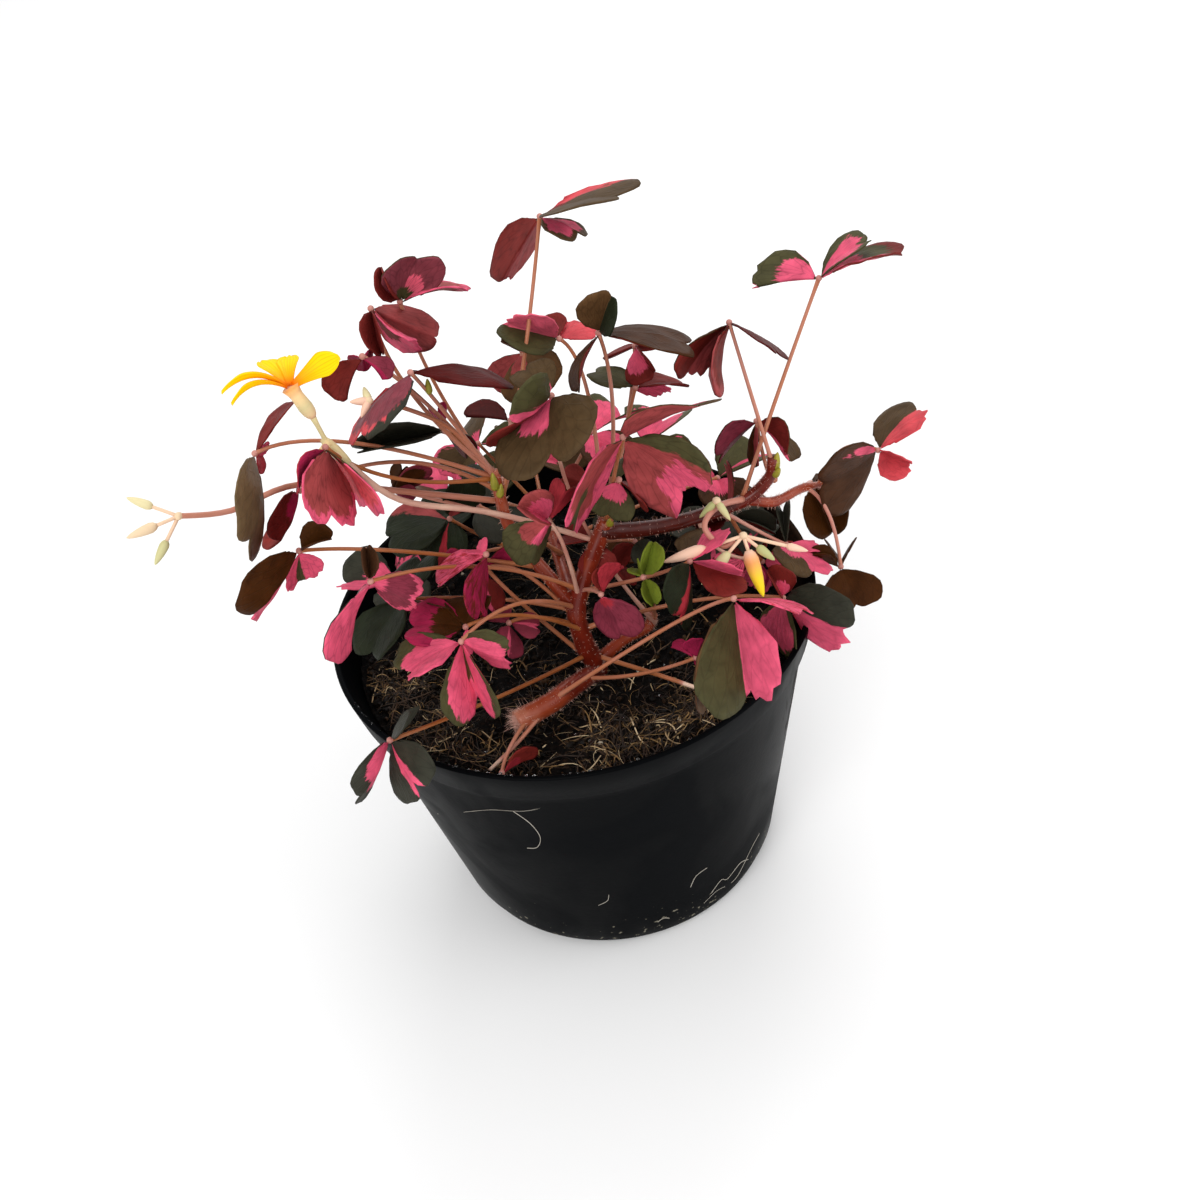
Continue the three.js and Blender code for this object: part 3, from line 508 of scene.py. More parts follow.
# ---------------------------------------------------------------- branches
# The plant's juicy, red-brown stems. The main stem leans out of the peat and forks, a thin twig grows from
# the right branch, and an older stem lies broken on the peat.
# Each row: points (mm), radius at foot and tip, tone of the skin at foot and tip (0 old, 1 young;
# below 0, painted shade).
LIMBS = [
    ([(3, -17, 58), (3, -17, 73), (1, -16, 83), (1, -14, 92), (6, -11, 102), (12, -8, 111)],
     2.7, 2.0, 0.1, 0.4),
    # The right branch: its foot's tone is set below 0, darker than old skin, as painted shade.
    ([(10, -9, 109), (23, -8, 106), (35, -7, 106), (45, -6, 107), (51, -6, 112), (52, -6, 117)],
     2.0, 1.2, -0.12, 0.3),
    ([(45, -6, 107), (52, -4, 103), (59, 0, 102), (65, 4, 99)], 1.4, 0.8, 0.4, 0.7),
    ([(1, -14, 91), (-4, -11, 101), (-10, -6, 112), (-11, -3, 121), (-11, -2, 127)], 1.9, 1.2, 0.35, 0.8),
    ([(3, -17, 72), (0, -22, 77), (-6, -28, 79), (-11, -31, 79), (-18, -34, 79)], 2.3, 2.6, 0.05, 0.85),
    ([(2, -16, 74), (10, -12, 77), (17, -9, 77), (19, -8, 80)], 1.8, 1.2, 0.4, 0.7),
    ([(1, -15, 82), (0, 0, 86), (-1, 14, 90), (-2, 24, 94)], 1.9, 1.1, 0.3, 0.7),
]
KNOB_HEIGHT = 0.16


def smooth_path(points, count):
    """Points of one smooth line through all the given ones, with count steps between each two."""
    knots = [np.array(point, float) for point in (points[0], *points, points[-1])]
    line = []
    for i in range(1, len(knots) - 2):
        a, b, c, d = knots[i - 1:i + 3]
        for s in np.arange(0, 1, 1 / count):
            line.append(0.5 * (2 * b + (c - a) * s + (2 * a - 5 * b + 4 * c - d) * s ** 2
                               + (3 * b - a - 3 * c + d) * s ** 3))
    return [*line, knots[-2]]


limb_paths, limb_tones = [], []
for points, foot, tip, foot_tone, tip_tone in LIMBS:
    line = smooth_path(points, 7)
    shares = [i / (len(line) - 1) for i in range(len(line))]
    limb_paths.append([
        (point, (foot + (tip - foot) * share) * (1 + 0.07 * noise.noise(Vector(point) * 0.35)))
        for point, share in zip(line, shares)])
    limb_tones += [foot_tone + (tip_tone - foot_tone) * share for share in shares]
branches = draw_tubes("red_branches", limb_paths, 4)
mark_rings(branches, limb_tones, "stem_tone")
for corner in branches.data.vertices:
    knob = noise.fractal(corner.co * 260, 1.0, 2.0, 3)
    corner.co += corner.normal * knob * KNOB_HEIGHT * MM


def tone_skin(name, surface, tone, patch_scale, patch_detail, sway, stops):
    """A skin coloured along a ramp by its own tone, which sways in patches. Gives the patches back too."""
    skin, shader = new_material(name, surface)
    patches = add_node(skin, "TexNoise", {
        "Vector": add_node(skin, "TexCoord").outputs["Object"],
        "Scale": patch_scale, "Detail": patch_detail})
    own_tone = add_node(skin, "Attribute", attribute_name=tone)
    around_zero = add_node(skin, "Math", {0: patches, 1: -0.5}, operation="ADD")
    swayed = add_node(skin, "Math", {
        0: around_zero, 1: sway, 2: own_tone.outputs["Fac"]}, operation="MULTIPLY_ADD")
    colour = add_node(skin, "ValToRGB", {"Fac": swayed}, stops=stops)
    connect(skin, shader, {"Base Color": colour})
    return skin, shader, patches


# Juicy stem under a thin skin: moist gloss over deep red where it is old and tan-pink where it is young, in
# blotches of about 4 mm, with a faint bloom of down at its edges. The right branch's foot is painted darker
# than old skin, as painted shade.
stem_skin, stem_shader, stem_blotch = tone_skin("juicy red stem, short-haired", {
    "Roughness": 0.3, "Specular IOR Level": 0.4, "Sheen Weight": 0.05, "Sheen Roughness": 0.4,
    "Sheen Tint": "#ffe9dc",
}, "stem_tone", 260, 4, 0.7, [(0, "#440e04"), (0.3, "#701c0a"), (0.65, "#983e20"), (1, "#c07c62")])
stem_relief = add_node(stem_skin, "Bump", {"Height": stem_blotch, "Strength": 0.3, "Distance": 0.4 * MM})
connect(stem_skin, stem_shader, {"Normal": stem_relief})
branches.data.materials.append(stem_skin)
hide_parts("stems")
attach(branches, "root")

# ---------------------------------------------------------------- hairs
# Short white hairs stand all over the branches, and the broken end of the old stem is frayed to a brush of
# longer fibres. Each is a thin three-sided spike, set on the skin along its normal.
HAIR_COUNT = 2600
HAIR_RADIUS = 0.05
HAIR_LENGTHS = (0.4, 1.1)
FRAYED_COUNT = 520
FRAYED_LENGTHS = (1.2, 3.6)
FRAYED_END = Vector((-18, -34, 79))
SET_BACK = Vector((1.2, 0.6, 0))  # from that end into the stem
RING_CORNERS = 12  # of a branch's tube
select_only()
bpy.ops.mesh.primitive_cone_add(vertices=3, radius1=HAIR_RADIUS, radius2=0, depth=1, location=(0, 0, 0.45))
bpy.ops.object.transform_apply(location=True)
hair_places = []
limb_corners = branches.data.vertices
for _ in range(HAIR_COUNT):
    corner = limb_corners[chance.randrange(len(limb_corners))]
    beside = limb_corners[max(0, corner.index - chance.choice((0, 1, RING_CORNERS)))]
    spot = corner.co
    if (corner.co - beside.co).length < 6 * MM:
        spot = corner.co.lerp(beside.co, chance.random())
    aim = (corner.normal + Vector([chance.gauss(0, 0.25) for _ in range(3)])).normalized()
    hair_places.append((spot / MM, (1, 1, chance.uniform(*HAIR_LENGTHS)), aim.to_track_quat("Z", "Y")))
for _ in range(FRAYED_COUNT):
    aim = Vector((chance.gauss(-0.7, 0.5), chance.gauss(-0.3, 0.5), chance.gauss(0.1, 0.5))).normalized()
    spot = FRAYED_END + Vector([chance.gauss(0, 1.0) for _ in range(3)]) + SET_BACK
    hair_places.append((spot, (1.4, 1.4, chance.uniform(*FRAYED_LENGTHS)), aim.to_track_quat("Z", "Y")))
hairs = sow("stem_hairs", hair_places)


def patchy(name, roughness, scale, detail, dark, pale):
    """A plain material whose colour wanders between two tones in patches."""
    material, shader = new_material(name, {"Roughness": roughness})
    patches = add_node(material, "TexNoise", {
        "Vector": add_node(material, "TexCoord").outputs["Object"],
        "Scale": scale, "Detail": detail})
    colour = add_node(material, "Mix", {"Factor": patches, "A": dark, "B": pale}, data_type="RGBA")
    connect(material, shader, {"Base Color": colour})
    return material


# Plant hair is clear and white, so it shows as pale pink where the red skin shines through it.
hairs.data.materials.append(patchy("plant hair, translucent white", 0.35, 180, 2, "#d08a78", "#f6dccb"))
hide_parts("stems")
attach(hairs, "root")

# ---------------------------------------------------------------- leaf blades
# Each leaf is three heart-shaped blades, folded along their midribs, that meet at a small joint. The living
# tissue is bronze-olive above and wine-red beneath, with pink patches that run out along the veins.
# A leaf's row: number, hub, bend and root of its petiole (mm), slot, then its blades.
# A blade's row: bearing, pitch, length (mm), roll, fold, look, and in some rows its own arch and notch. A
# look names the zones of the patch and of the blotch over it, then the colours of ground, patch and blotch
# above, and the same three beneath.
LEAVES = [
    (1, (11, 26, 172), (1, 11, 146), (-11, -4, 119), "leaf_rose", [
        (186, -50, 20, 106, 70, "r . opo mrm"),
        (330, 14, 23, -13, 7, "L h osm mrm", 0.06, 0.85),
        (320, -18, 11, -20, -10, "i . opo mrm")]),
    (2, (70, 14, 149), (55, 2, 126), (44, -6, 107), "leaf_pink", [
        (152, -14, 20, 90, 73, "t R gpo pgm", 0.09, 0.84),
        (0, 28, 14, -16, 13, "i L gpg mpo"),
        (348, 11, 20, -22, 6, "b+r T gpm mpm", 0.07, 0.85)]),
    (3, (18, 2, 154), (18, -2, 136), (12, -8, 111), "leaf_olive", [
        (351, -18, 21, -18, -2, ". . npo mro", 0.08, 0.9),
        (333, 64, 12, 80, 54, "l . Kyo mro"),
        (225, -45, 14, 48, 9, ". . dpo mrm")]),
    (4, (10, 21, 143.5), (14, 15, 131), (11, -8, 110), "leaf_brown", [
        (113, 17, 8, 124, 56, ". . xpo mrm"),
        (32, -6, 10, 0, -6, "a . sss mrm"),
        (190, 33, 17, -69, 63, "r . gqo mrm", 0.08, 0.88)]),
    (5, (5, -14, 151), (6, -7, 114), (19, -9, 78), "leaf_olive", [
        (262, -16, 21, 26, 10, "rb . opo mrm", 0.08, 0.76),
        (230, 13, 18, -124, -14, "m l gpm mpo"),
        (125, 25, 9, 0, 10, "h . opo mpo")]),
    (6, (18, -20, 141), (15, -14, 127), (12, -8, 111), "leaf_rose", [
        (325, -42, 22, -81, -7, "tw R opo rpg"),
        (218, -37, 25, 62, 0, "R+T mt opo rpg"),
        (335, 25, 22, -32, 5, "L . opo rpo", 0.05, 0.85)]),
    (7, (27, 20, 138), (22, 14, 122), (12, -8, 111), "leaf_pink", [
        (155, -25, 10, 110, 85, ". . mpo mrm"),
        (291, -20, 10, 68, 45, "n . mpo mrm"),
        (330, 15, 11, 55, 70, ". . mpo mrm")]),
    (8, (25, 12, 132), (20, 8, 121), (12, -8, 111), "leaf_brown", [
        (147, 16, 11, 18, -2, ". . gpo mrm"),
        (4, -17, 12, -20, 14, ". . mpo mrm"),
        (10, -32, 9, -40, -6, "a . mpo mpo")]),
    (9, (48, 10, 145), (50, 2, 130), (52, -6, 115), "leaf_plum", [
        (195, -40, 17, 59, -4, "r . dpo wrm"),
        (307, -17, 15, -44, 0, ". . upo upu"),
        (245, -55, 17, 75, 15, "T . nro wrn")]),
    (10, (52, 10, 117), (52, 3, 109), (52, -6, 111), "leaf_plum", [
        (207, -22, 13, 64, 12, ". . nro vrv"),
        (181, -75, 11, 15, -24, "L . nro wvm"),
        (288, -22, 13, -67, 32, "m . opo mpo")]),
    (11, (80, 6, 104), (72, 8, 105), (65, 4, 99), "leaf_brown", [
        (203, -3, 19, -100, 11, "Rn . dpo mpo", 0.07, 0.85),
        (27, 19, 16, -22, 4, "r . oso mro"),
        (310, -2, 12, 75, 57, "a . oso sso")]),
    (12, (66, 20, 87), (65, 15, 92), (60, 1, 101), "leaf_brown", [
        (284, -39, 15, 17, 54, ". . nno nno"),
        (345, 10, 12, 110, 10, ". . nnn nnn"),
        (40, -60, 10, 0, 60, ". . nnn nnn")]),
    (13, (34, -44, 111), (20, -35, 99), (-10, -30, 79), "leaf_pink", [
        (263, -56, 25, 4, 52, "l . gpo mpo"),
        (224, -61, 25, 69, 3, ". . dmo yro", 0.1, 0.84),
        (326, 0, 17, -41, -4, "x . xpo xpo")]),
    (14, (48.4, -23, 89.6), (28, -19, 91), (1, -15, 86), "leaf_pink", [
        (243, -64, 14, 47, 0, "i . gpo mpo"),
        (314, -5, 20, 96, 0, "r . kpo mpo"),
        (159, 69, 10, -39, 63, "b . mpo rpo")]),
    (15, (53.5, -6, 91), (46, -6, 98), (39, -7, 106), "leaf_pink", [
        (283, 0, 15, -33, 0, "l+b . opo mpo"),
        (23, -25, 10, -20, -25, "r . xpo xpo"),
        (80, 10, 11, 0, 75, ". . kpo mpo")]),
    (16, (28, -24, 107), (18, -19, 101), (3, -13, 96), "leaf_plum", [
        (246, -20, 15, -82, -13, "m . Kxo mro"),
        (335, -15, 14, 60, 65, "l . mpo xpo"),
        (50, 0, 13, -20, 0, "r+m . opo mpo")]),
    (17, (-41, -30, 125), (-18, -19, 114), (3, -13, 96), "leaf_pink", [
        (338, -31, 12, -124, 53, "h+T . kpo vpo"),
        (208, -60, 19, 45, 18, "n . kpo ppo"),
        (75, 65, 8, 25, 70, ". . dpo mro")]),
    (18, (-25, -38, 110), (-12, -26, 107), (1, -14, 92), "leaf_pink", [
        (197, -15, 16, 15, 14, "a j gpg rpo"),
        (285, -75, 18, 24, 58, "N bm gpy rpo"),
        (326, -7, 13, 103, -13, "a k gpg rpo")]),
    (19, (-44, -52, 99), (-20, -35, 89), (2, -16, 79), "leaf_olive", [
        (233, -14, 15, -111, -11, "n . kpo mpo"),
        (295, -26, 14, 63, -6, "m . kpo mpo"),
        (15, 47, 9, -39, -27, ". . kpo kmo")]),
    (20, (-43, -20, 154), (-31, -12, 137), (-11, -2, 125), "leaf_rose", [
        (266, -44, 18, 111, -2, "T . opo rpg"),
        (328, -75, 19, -58, 5, "T h opo spm", 0.1, 0.84),
        (229, -23, 11, 55, 8, ". . xpo zpo", 0.1, 0.84)]),
    (21, (-59, -12, 151), (-40, -6, 145), (-11, -2, 125), "leaf_olive", [
        (67, 9, 14, -47, -19, ". . mro mro"),
        (255, -30, 22, -102, -6, ". . cpo cro", 0.1, 0.84),
        (84, -41, 7, -66, -25, "r . xpo xpo")]),
    (22, (-54, -4, 134), (-31, -1, 134), (-11, -3, 122), "leaf_plum", [
        (241, -18, 15, -125, -30, "b . mzo wzm"),
        (15, 20, 8, -50, 0, ". . mro mro"),
        (340, -30, 10, -65, 0, ". . mro mro")]),
    (23, (-55, -22, 131), (-35, -15, 120), (-5, -10, 103), "leaf_brown", [
        (227, -14, 20, -118, -17, "l . npo npo"),
        (146, -74, 11, 21, -26, "a m gpg gpg"),
        (351, 15, 9, 24, 61, ". . nro nro")]),
    (24, (-29, 8, 168), (-25, 4, 148), (-11, -2, 126), "leaf_plum", [
        (355, -38, 17, -123, 63, "T . mro rrm"),
        (274, -38, 12, 9, 76, ". . mro urm"),
        (327, -31, 15, 125, 14, "t . mpo xpm")]),
    (25, (-23, 14, 165), (-20, 18, 139), (-11, -1, 125), "leaf_rose", [
        (346, 57, 13, -54, -16, "lb h opo Vqg"),
        (356, -6, 17, -24, 10, "e h rpg rpg", 0.11, 0.84),
        (179, 78, 10, -99, 77, ". . mro mpo")]),
    (26, (-32, -6, 165), (-23, -2, 150), (-11, -2, 126), "leaf_plum", [
        (205, -55, 11, 60, 75, ". . mro mro"),
        (330, -60, 7, -60, 75, "m . uzo vzo"),
        (100, -60, 7, 0, 50, "a . mzo mzo")]),
    (27, (-23, -8, 160), (-18, -6, 147), (-11, -2, 125), "leaf_rose", [
        (227, -17, 21, 33, -8, "T kT Vsk rsk", 0.1, 0.84),
        (27, -28, 22, -16, -16, ". . uuo uuo", 0.1, 0.84),
        (230, -45, 8, 35, 5, "t . mqo mqo")]),
    (28, (-20, 6, 135), (-15, 2, 131), (-11, -3, 123), "leaf_olive", [
        (190, 5, 22, -50, 80, ". . kuo uzo"),
        (255, 70, 7, 15, 65, "a . uzo uzo"),
        (325, -55, 8, -75, 15, ". . kuo uzo")]),
    (29, (-5, 14, 129), (-8, 7, 123), (-11, -3, 120), "leaf_plum", [
        (160, 5, 12, 105, 75, ". . uvo uvo"),
        (30, 40, 10, 105, 20, ". . mvo uvo"),
        (40, -60, 10, 105, 55, ". . mvo uvo")]),
    (30, (-35, 2, 125), (-25, 1, 120), (-10, -5, 115), "leaf_brown", [
        (10, 0, 10, -55, 10, "T . nro nvo"),
        (10, 50, 6, -105, 60, ". . nro nro"),
        (0, -55, 6, -80, 50, "a . nvo nvo")]),
    (31, (-24, 4, 112), (-16, 1, 106), (-7, -8, 106), "leaf_olive", [
        (185, -5, 16, 0, 0, "R . Kro mro"),
        (20, 55, 11, 105, 10, "h . Kro mro"),
        (250, -30, 12, 20, 0, "m . Kxo mro")]),
    (32, (-1, -26, 128), (1, -21, 116), (2, -13, 94), "leaf_pink", [
        (181, -63, 14, 76, 49, "r+m t dpg rpg"),
        (205, 49, 11, -57, 59, "n . rpo rpo"),
        (355, 55, 9, -100, 60, ". . mro xro")]),
    (33, (-16, -24, 121), (-15, -14, 104), (2, -17, 77), "leaf_pink", [
        (185, -25, 14, 105, 80, "x . mpo xpo"),
        (115, -20, 6, -10, 30, "a . xpo xpo"),
        (245, -50, 14, 85, 5, "x . mzo mzo")]),
    (34, (7, -24, 103), (5, -18, 100), (3, -13, 96), "leaf_rose", [
        (300, -65, 12, -110, 10, "h . vpo vxo"),
        (55, 55, 6, -95, 10, ". . wwo wwo"),
        (20, 35, 8, -65, 25, "a . xxo xxo")]),
    (35, (-37, -16, 107), (-17, -13, 99), (1, -14, 91), "leaf_olive", [
        (225, -25, 16, 20, 10, ". . Kpo mpo"),
        (60, 15, 12, -25, 5, "h . Kpo mpo"),
        (340, -30, 15, 110, 5, "h . dpo mpo")]),
    (36, (17, -26, 107), (19, -15, 91), (19, -8, 78), "leaf_green", [
        (35, 60, 9, 50, 65, ". . ffo ffo"),
        (280, -35, 7, 5, 65, ". . ffo ffo"),
        (95, -15, 5, -35, 55, ". . ffo ffo")]),
    (37, (25, -36, 89), (12, -29, 81), (-1, -23, 78), "leaf_pink", [
        (330, 65, 7, -40, 20, "a . zzo zzo"),
        (325, -80, 5, -110, 65, "a . zzo zzo"),
        (150, 20, 6, 110, 75, "a . zzo vzo")]),
    (38, (42, 6, 93), (39, 2, 98), (35, -7, 106), "leaf_olive", [
        (335, -20, 12, 25, 75, ". . kpo mpo"),
        (185, 0, 9, -55, 70, ". . umo umo"),
        (75, 50, 14, 100, 0, ". . dpo rpo")]),
    (39, (11, 4, 112), (11, 0, 111), (11, -8, 110), "leaf_pink", [
        (175, 35, 8, 110, 55, ". . mpo mpo"),
        (320, -25, 7, 60, 55, "m . dpo mpo"),
        (55, 55, 7, 35, 65, ". . dpo mpo")]),
    (40, (18, 0, 97), (14, -2, 100), (9, -9, 106), "leaf_olive", [
        (300, -20, 7, 35, 45, ". . kpo mpo"),
        (210, -30, 8, 80, 5, ". . dpo mro"),
        (40, 65, 6, 50, 55, ". . dpo mpo")]),
    (41, (1, 32, 136), (-4, 15, 125), (-11, -3, 119), "leaf_rose", [
        (205, -65, 12, 80, 60, ". . dro rro"),
        (285, -28, 14, 30, 20, "rb . yro rro"),
        (195, 45, 7, -55, 65, ". . dro rro")]),
    (42, (-23, -50, 80), (-20, -42, 80), (-14, -32, 79), "leaf_plum", [
        (20, -5, 9, -60, 20, "b . uxo wxo")]),
    (43, (-2, 50, 93), (-2, 38, 95), (-2, 24, 93), "leaf_olive", [
        (90, -15, 17, 0, 35, "m . opo rpo"),
        (215, -15, 15, 0, 35, "h . gpo rpo"),
        (325, -15, 15, 0, 35, "b . opo rpo")]),
    (44, (28, 44, 93), (14, 34, 94), (-2, 22, 93), "leaf_pink", [
        (60, -10, 17, 0, 30, "N . gpo rpo"),
        (180, -20, 14, 0, 40, "w . opo rpo"),
        (300, -10, 13, 0, 30, "i . gpo rpo")]),
    (45, (-26, 43, 91), (-14, 34, 93), (-2, 22, 93), "leaf_rose", [
        (130, -10, 16, 0, 30, "r . opo rpo"),
        (250, -20, 14, 0, 40, "w . dpo rpo"),
        (10, -5, 13, 0, 35, "l . gpo rpo")]),
    (46, (44, 30, 88), (22, 20, 92), (-1, 14, 90), "leaf_olive", [
        (30, -5, 16, 0, 30, "s . gpo rpo"),
        (150, -10, 14, 0, 35, "h . opo rpo"),
        (270, -15, 13, 0, 35, "b . dpo rpo")]),
    (47, (-42, 15, 88), (-20, 16, 91), (-1, 14, 90), "leaf_pink", [
        (160, -5, 16, 0, 30, "l+b . kpo rpo"),
        (280, -10, 14, 0, 35, "w . kpo rpo"),
        (40, -15, 14, 0, 35, "x . kpo rpo")]),
    (48, (14, 36, 106), (8, 31, 100), (-2, 23, 94), "leaf_rose", [
        (45, -20, 16, 0, 35, "N . gpo rpo"),
        (165, -20, 15, 0, 35, "w k gpg rpo"),
        (285, -25, 14, 0, 40, "n . dpo rpo")]),
    (49, (-15, 42, 106), (-9, 34, 100), (-2, 23, 94), "leaf_olive", [
        (110, -20, 16, 0, 35, "h . opo rpo"),
        (230, -20, 14, 0, 35, "e . opo rpo"),
        (350, -25, 13, 0, 35, "m . gpo rpo")]),
    (50, (65.5, -10, 84), (65, -2, 95), (60, 1, 102), "leaf_brown", [
        (275, -25, 12, 0, 10, ". . nno nno"),
        (75, -35, 12, 0, 60, ". . nno nno"),
        (165, 15, 8, 0, 70, ". . nno nno")]),
    (51, (-17, 12, 108), (-10, 8, 104), (0, 10, 90), "leaf_olive", [
        (185, -5, 15, 0, 10, ". . Kpo mro"),
        (300, -20, 14, -20, 10, ". . kpo mro"),
        (60, 10, 12, 0, 20, ". . kpo mro")]),
    (52, (-19, -12, 107), (-10, -11, 104), (1, -15, 88), "leaf_rose", [
        (265, -55, 10, -60, 10, "m . mpo zpo"),
        (20, -10, 9, -60, 20, ". . mpo zpo"),
        (140, 0, 9, 60, 20, ". . mpo zpo")]),
    (53, (-15, -20, 97), (-8, -18, 95), (1, -15, 87), "leaf_plum", [
        (250, -30, 8, -60, 0, "m . vpo Vpo"),
        (350, -20, 7, 0, 0, "m . vpo Vpo"),
        (120, -10, 6, 0, 20, ". . vpo Vpo")]),
    (54, (-24, -30, 107), (-12, -24, 102), (2, -16, 86), "leaf_brown", [
        (170, 5, 13, 0, 10, "t . nzo mpo"),
        (75, 0, 9, 0, 20, ". . nzo mpo"),
        (280, -70, 7, 0, 40, "a . Vpo Vpo")]),
    (55, (12, 6, 88), (8, 0, 91), (1, -14, 88), "leaf_olive", [
        (350, 10, 9, 0, 15, ". . npo mpo"),
        (290, -25, 8, -50, 10, ". . mpo xpo"),
        (100, 20, 9, 20, 20, ". . npo mpo")]),
    (56, (43, -8, 91), (36, -8, 97), (33, -7, 106), "leaf_pink", [
        (200, -10, 8, -40, 20, "x . mpo zpo"),
        (290, -40, 8, -50, 10, "i . zpo zpo"),
        (60, 10, 8, 0, 30, "m . kpo zpo")]),
    (57, (38, 8, 86), (36, 2, 93), (33, -7, 106), "leaf_olive", [
        (10, 0, 16, 0, 15, ". . kpo mpo"),
        (140, 10, 11, 0, 20, ". . kpo mpo"),
        (255, -20, 10, -20, 20, "m . kpo mpo")]),
    (58, (48, -2, 84), (44, -3, 93), (40, -7, 106), "leaf_rose", [
        (340, -5, 9, 20, 10, "b . wpo rpo"),
        (230, -30, 8, -60, 10, "a . zpo zpo"),
        (110, 0, 8, 0, 20, ". . wpo rpo")]),
    (59, (8, -8, 106), (6, -10, 104), (2, -14, 92), "leaf_plum", [
        (260, -60, 8, -20, 20, ". . mpo mpo"),
        (150, 0, 8, 0, 20, ". . mpo mpo"),
        (30, 0, 8, 0, 20, ". . kpo mpo")]),
    (60, (16, -14, 126), (15, -13, 118), (11, -9, 110), "leaf_pink", [
        (215, -55, 9, -40, 0, "b . gpo mpo"),
        (330, -60, 9, -40, 10, ". . mpo mpo"),
        (90, -10, 9, 0, 20, ". . gpo mpo")]),
]
# Tissue with green in it is bronze to olive (o g d y c) or, where it is young, fresh green (f).
# The dark olives k and K are olive with painted shade, for leaves that lie in shade, and the brown n is olive
# with painted light that shines through it from behind. Without green it is pink (p q s), and with red sap
# rose to scarlet (r x z v V) or wine (w m u).
TISSUE = {
    "o": "#4c3a25", "g": "#47442a", "k": "#33332a", "K": "#23281a", "d": "#432a1a", "n": "#40220a",
    "y": "#5a3f26", "c": "#68543a", "p": "#dc5674", "q": "#ea647c", "s": "#cc4a52", "r": "#9c4444",
    "x": "#a8303a", "w": "#802a24", "m": "#702420", "u": "#4c100e", "v": "#803040", "z": "#a02248",
    "V": "#823e48", "f": "#6a7626",
}
PINK = "pqs"  # tissue without green, which grows less: its part of the margin is drawn in and toothed
LAST_OUTER_LEAF = 50  # the small leaves after it are hidden among the stems
FAN_ANGLE = 63  # degrees from the midrib to a blade's straight lower edges
RINGS, SPOKES = 14, 24
JOINT_RADIUS = 0.75 * MM
BLADE_START = 0.6  # mm from the hub's centre
BLADE_ARCH = 0.08  # rise of the middle, as a share of the length
BLADE_NOTCH = 0.84  # where the notch between the lobes ends, as a share of the length
BLADE_THICKNESS = 0.28
# How deep a point lies in each zone, by its place along the blade (0 to 1) and to its left (-1 to 1).
ZONES = {
    ".": lambda along, side: -1.0 + 0 * along,  # nowhere
    "a": lambda along, side: 1.0 + 0 * along,  # all over
    "x": lambda along, side: 0.02 + 0 * along,  # all over, in streaks
    "m": lambda along, side: 0.24 - abs(side),  # a band along the midrib
    "w": lambda along, side: 0.5 - abs(side),  # a wide one
    "s": lambda along, side: 0.24 - abs(side + 0.28),  # a band to the right of it
    "l": lambda along, side: side * 1.6 + 0.02,  # the left half
    "r": lambda along, side: -side * 1.6 + 0.02,  # the right half
    "L": lambda along, side: side - 0.62,  # the left edge
    "R": lambda along, side: -side - 0.62,  # the right edge
    "h": lambda along, side: 0.24 - along,  # by the hub
    "b": lambda along, side: 0.5 - along,  # the inner half
    "n": lambda along, side: 0.72 - along,  # all but the outer quarter
    "t": lambda along, side: along - 0.55,  # the outer half
    "T": lambda along, side: along - 0.84,  # the outer edge
    "e": lambda along, side: np.maximum(abs(side), along) - 0.84,  # the margin all round
    "i": lambda along, side: 0.86 - np.maximum(abs(side), along),  # all but the margin
    "j": lambda along, side: along - side - 1.25,  # the right outer corner
    "k": lambda along, side: along + side - 1.25,  # the left outer corner
    "N": lambda along, side: 1.3 - along - 0.75 * abs(side),  # all but the outer corners
}


def zone(code, along, side):
    """How deep each point lies in a zone: letters side by side narrow it down, and a plus joins two zones."""
    parts = [np.minimum.reduce([ZONES[letter](along, side) for letter in part]) for part in code.split("+")]
    return np.maximum.reduce(parts)


def blade_axes(bearing, pitch, roll):
    """Unit vectors along a blade's midrib, across it to the left, and out of its upper face."""
    b, p, r = math.radians(bearing), math.radians(pitch), math.radians(roll)
    along = np.array((math.cos(p) * math.cos(b), math.cos(p) * math.sin(b), math.sin(p)))
    sideways = np.array((-math.sin(b), math.cos(b), 0))
    upward = np.cross(along, sideways)
    across = sideways * math.cos(r) + upward * math.sin(r)
    return along, across, np.cross(along, across)


def flat_blank(rings, spokes):
    """A grid to cut blades from, with each corner's place along it (0 to 1) and to its side (-1 to 1)."""
    select_only()
    bpy.ops.mesh.primitive_grid_add(x_subdivisions=rings, y_subdivisions=spokes, size=2)
    blank = bpy.context.object
    places = np.array([corner.co for corner in blank.data.vertices])
    return blank, (places[:, 0] + 1) / 2, places[:, 1]


def cut_out(blank, base, axes, shares):
    """A copy of a blank with its corners at base + axes x shares, all in millimetres."""
    cut = blank.copy()
    cut.data = blank.data.copy()
    bpy.context.scene.collection.objects.link(cut)
    place = np.array(base)
    for axis, share in zip(axes, shares):
        place = place + np.outer(share, axis)
    cut.data.vertices.foreach_set("co", (place * MM).ravel())
    return cut


def join_and_thicken(blades, thickness, skins):
    """Joins flat blades and thickens them downwards. The last of the skins lies underneath."""
    select_only(*blades)
    if len(blades) > 1:
        bpy.ops.object.join()
    flesh = bpy.context.object
    for skin in skins:
        flesh.data.materials.append(skin)
    thicken = flesh.modifiers.new("thickness", "SOLIDIFY")
    thicken.thickness = thickness * MM
    thicken.offset = -1
    thicken.material_offset = len(skins) - 1
    bpy.ops.object.modifier_apply(modifier=thicken.name)
    bpy.ops.object.shade_smooth()
    return flesh


blade_blank, out, side = flat_blank(RINGS, SPOKES)
off_midrib = np.sign(side) * abs(side) ** 1.35 * FAN_ANGLE
angle = np.radians(off_midrib)
lobe_reach = (1 - (abs(off_midrib) / 66) ** 4) ** 0.6
notch_share = np.exp(-abs(off_midrib) / 10)


